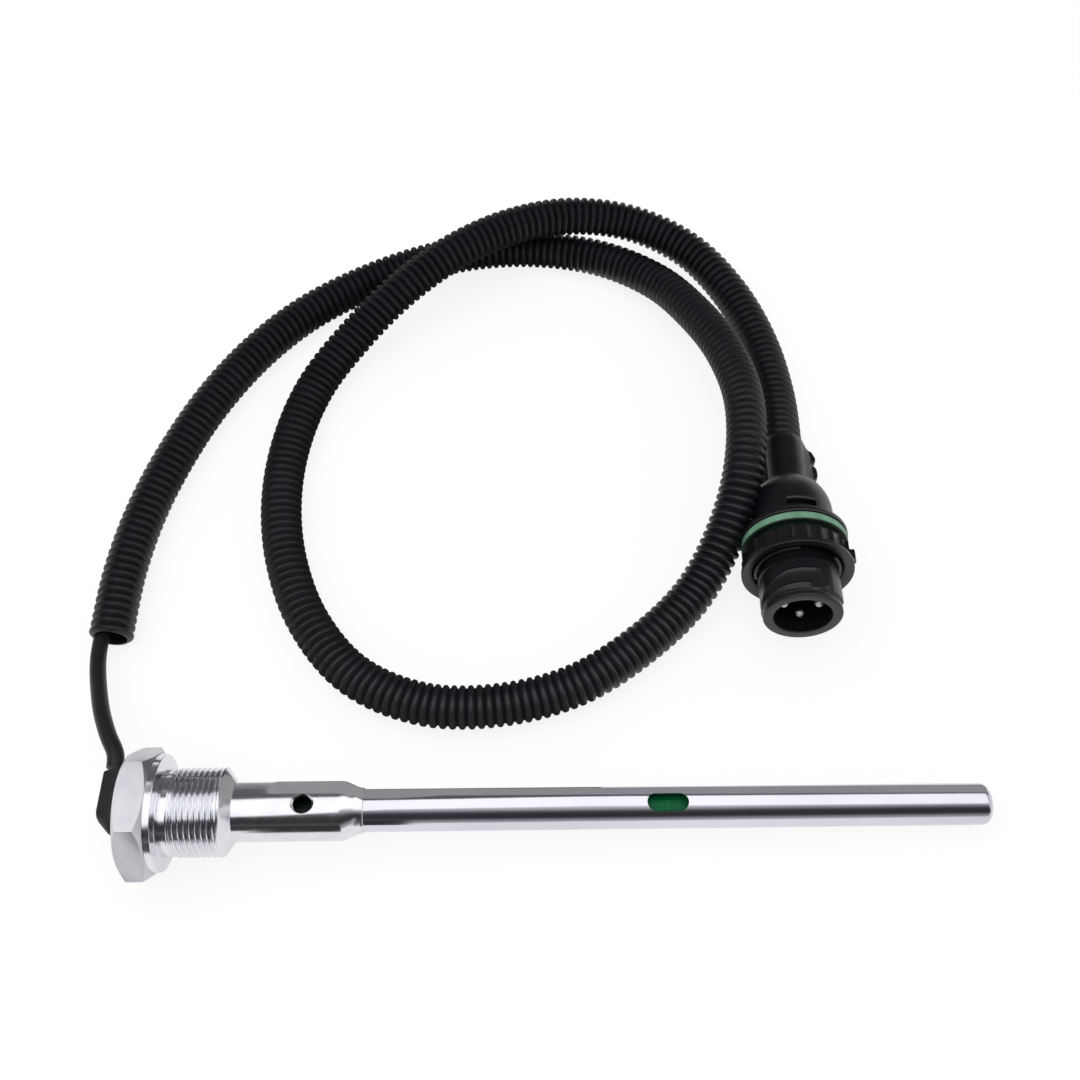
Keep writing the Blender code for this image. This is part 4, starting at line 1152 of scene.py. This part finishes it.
cardGlow = emissive("whiteCard", studioSettings["cardStrength"])
flagGlow = emissive("greyFlag", studioSettings["flagStrength"])
darkGlow = emissive("darkFlag", studioSettings["darkStrength"])
blackGlow = emissive("blackFlag", studioSettings["blackStrength"])
sideGlow = emissive("sideCard", studioSettings["sideStrength"])
high, low = studioSettings["cardHeight"], studioSettings["flagHeight"]
cardShapes = {
    "whiteCard1": (cardGlow, levelCorners(high, (-0.170, -0.060), (-0.124, -0.060), (-0.124, 0.060), (-0.170, 0.060))),
    "whiteCard2": (cardGlow, levelCorners(high, (-0.124, -0.051), (-0.086, -0.042), (-0.045, -0.014), (0.020, -0.007),
                                          (0.170, -0.020), (0.170, 0.074), (0.020, 0.084), (-0.045, 0.058),
                                          (-0.086, 0.047), (-0.124, 0.021))),
    "sideCard1": (sideGlow, uprightCorners(0.240, -0.080, 0.080, 0.150)),
    "sideCard2": (sideGlow, uprightCorners(0.240, 0.080, 0.320, 0.060)),
    "greyFlag1": (flagGlow, levelCorners(low, (-0.102, 0.030), (-0.080, 0.030), (-0.080, 0.300), (-0.160, 0.300))),
    "greyFlag2": (flagGlow, [(-0.080, 0.020, low), (0.140, 0.020, low), (0.140, 0.020, 0.025),
                             (-0.030, 0.020, 0.025), (-0.045, 0.020, 0.034), (-0.080, 0.020, 0.034)]),
    "darkFlag": (darkGlow, levelCorners(low, (-0.080, 0.012), (0.015, 0.012), (0.015, 0.300), (-0.080, 0.300))),
    "blackFlag1": (blackGlow, [(-0.098, -0.085, low), (-0.045, -0.085, low), (-0.045, -0.120, 0.060),
                               (-0.098, -0.120, 0.060)]),
    "blackFlag2": (blackGlow, [(-0.135, -0.090, 0.016), (-0.098, -0.090, 0.016), (-0.098, -0.120, 0.060),
                               (-0.140, -0.120, 0.060)]),
}
cards = [flatCard(name, corners, material) for name, (material, corners) in cardShapes.items()]
for card in cards:
    card.visible_camera = False
    card.visible_diffuse = False
    card.visible_shadow = False
    card.visible_transmission = False

world = bpy.data.worlds.new("studioWorld")
bpy.context.scene.world = world
world.use_nodes = True
sky = world.node_tree
sky.nodes.clear()
place = addNode(sky, "ShaderNodeTexCoord")
parts = addNode(sky, "ShaderNodeSeparateXYZ", {}, {0: place.outputs["Generated"]})
forward = addNode(sky, "ShaderNodeMath", {"operation": "MULTIPLY", 1: -1.0}, {0: parts.outputs["Y"]})
angle = addNode(sky, "ShaderNodeMath", {"operation": "ARCTAN2"}, {0: forward.outputs[0], 1: parts.outputs["Z"]})
share = addNode(sky, "ShaderNodeMapRange", {1: -math.pi, 2: math.pi, 3: 0.0, 4: 1.0}, {0: angle.outputs[0]})
bands = addNode(sky, "ShaderNodeValToRGB", {}, {0: share.outputs[0]})

# Angle from straight up, towards the front, in degrees, and how bright the room is there
roomBands = [
    (-180, 0.4), (-104, 0.3), (-88, 0.16), (-64, 0.12), (-50, 0.11), (-34, 0.1), (-8, 0.14),
    (8, 0.75), (18, 0.45), (30, 0.12), (40, 0.04), (60, 0.03), (68, 0.08), (80, 0.35), (92, 0.5), (180, 0.6),
]
ramp = bands.color_ramp
ramp.elements[0].position = 0.0
ramp.elements[1].position = 1.0
for degrees, level in roomBands[1:-1]:
    ramp.elements.new((degrees + 180) / 360)
for element, (degrees, level) in zip(ramp.elements, roomBands):
    element.color = (level * 0.97, level * 0.97, level * 1.02, 1.0)

ray = addNode(sky, "ShaderNodeLightPath")
room = addNode(sky, "ShaderNodeBackground", {"Strength": 1.0}, {"Color": bands.outputs[0]})
plain = addNode(sky, "ShaderNodeBackground", {"Color": glowWhite, "Strength": studioSettings["worldStrength"]})
white = addNode(sky, "ShaderNodeBackground", {"Color": glowWhite, "Strength": 1.0})
lit = addNode(sky, "ShaderNodeMixShader", {}, {
    0: ray.outputs["Is Glossy Ray"], 1: plain.outputs[0], 2: room.outputs[0]})
seen = addNode(sky, "ShaderNodeMixShader", {}, {
    0: ray.outputs["Is Camera Ray"], 1: lit.outputs[0], 2: white.outputs[0]})
addNode(sky, "ShaderNodeOutputWorld", {}, {"Surface": seen.outputs[0]})

lampSettings = {
    "name": "softbox", "place": (-0.15, 0.1, 0.9), "target": (0.0, 0.08, 0.0), "size": 0.9, "power": 4.2,
}
lampData = bpy.data.lights.new(lampSettings["name"], "AREA")
lampData.shape = "SQUARE"
lampData.size = lampSettings["size"]
lampData.energy = lampSettings["power"]
lamp = bpy.data.objects.new(lampSettings["name"], lampData)
lamp.location = lampSettings["place"]
lamp.rotation_euler = (Vector(lampSettings["target"]) - lamp.location).to_track_quat("-Z", "Y").to_euler()
bpy.context.scene.collection.objects.link(lamp)
lamp.visible_glossy = False

bpy.context.scene.view_settings.view_transform = "Standard"
print("studio set")
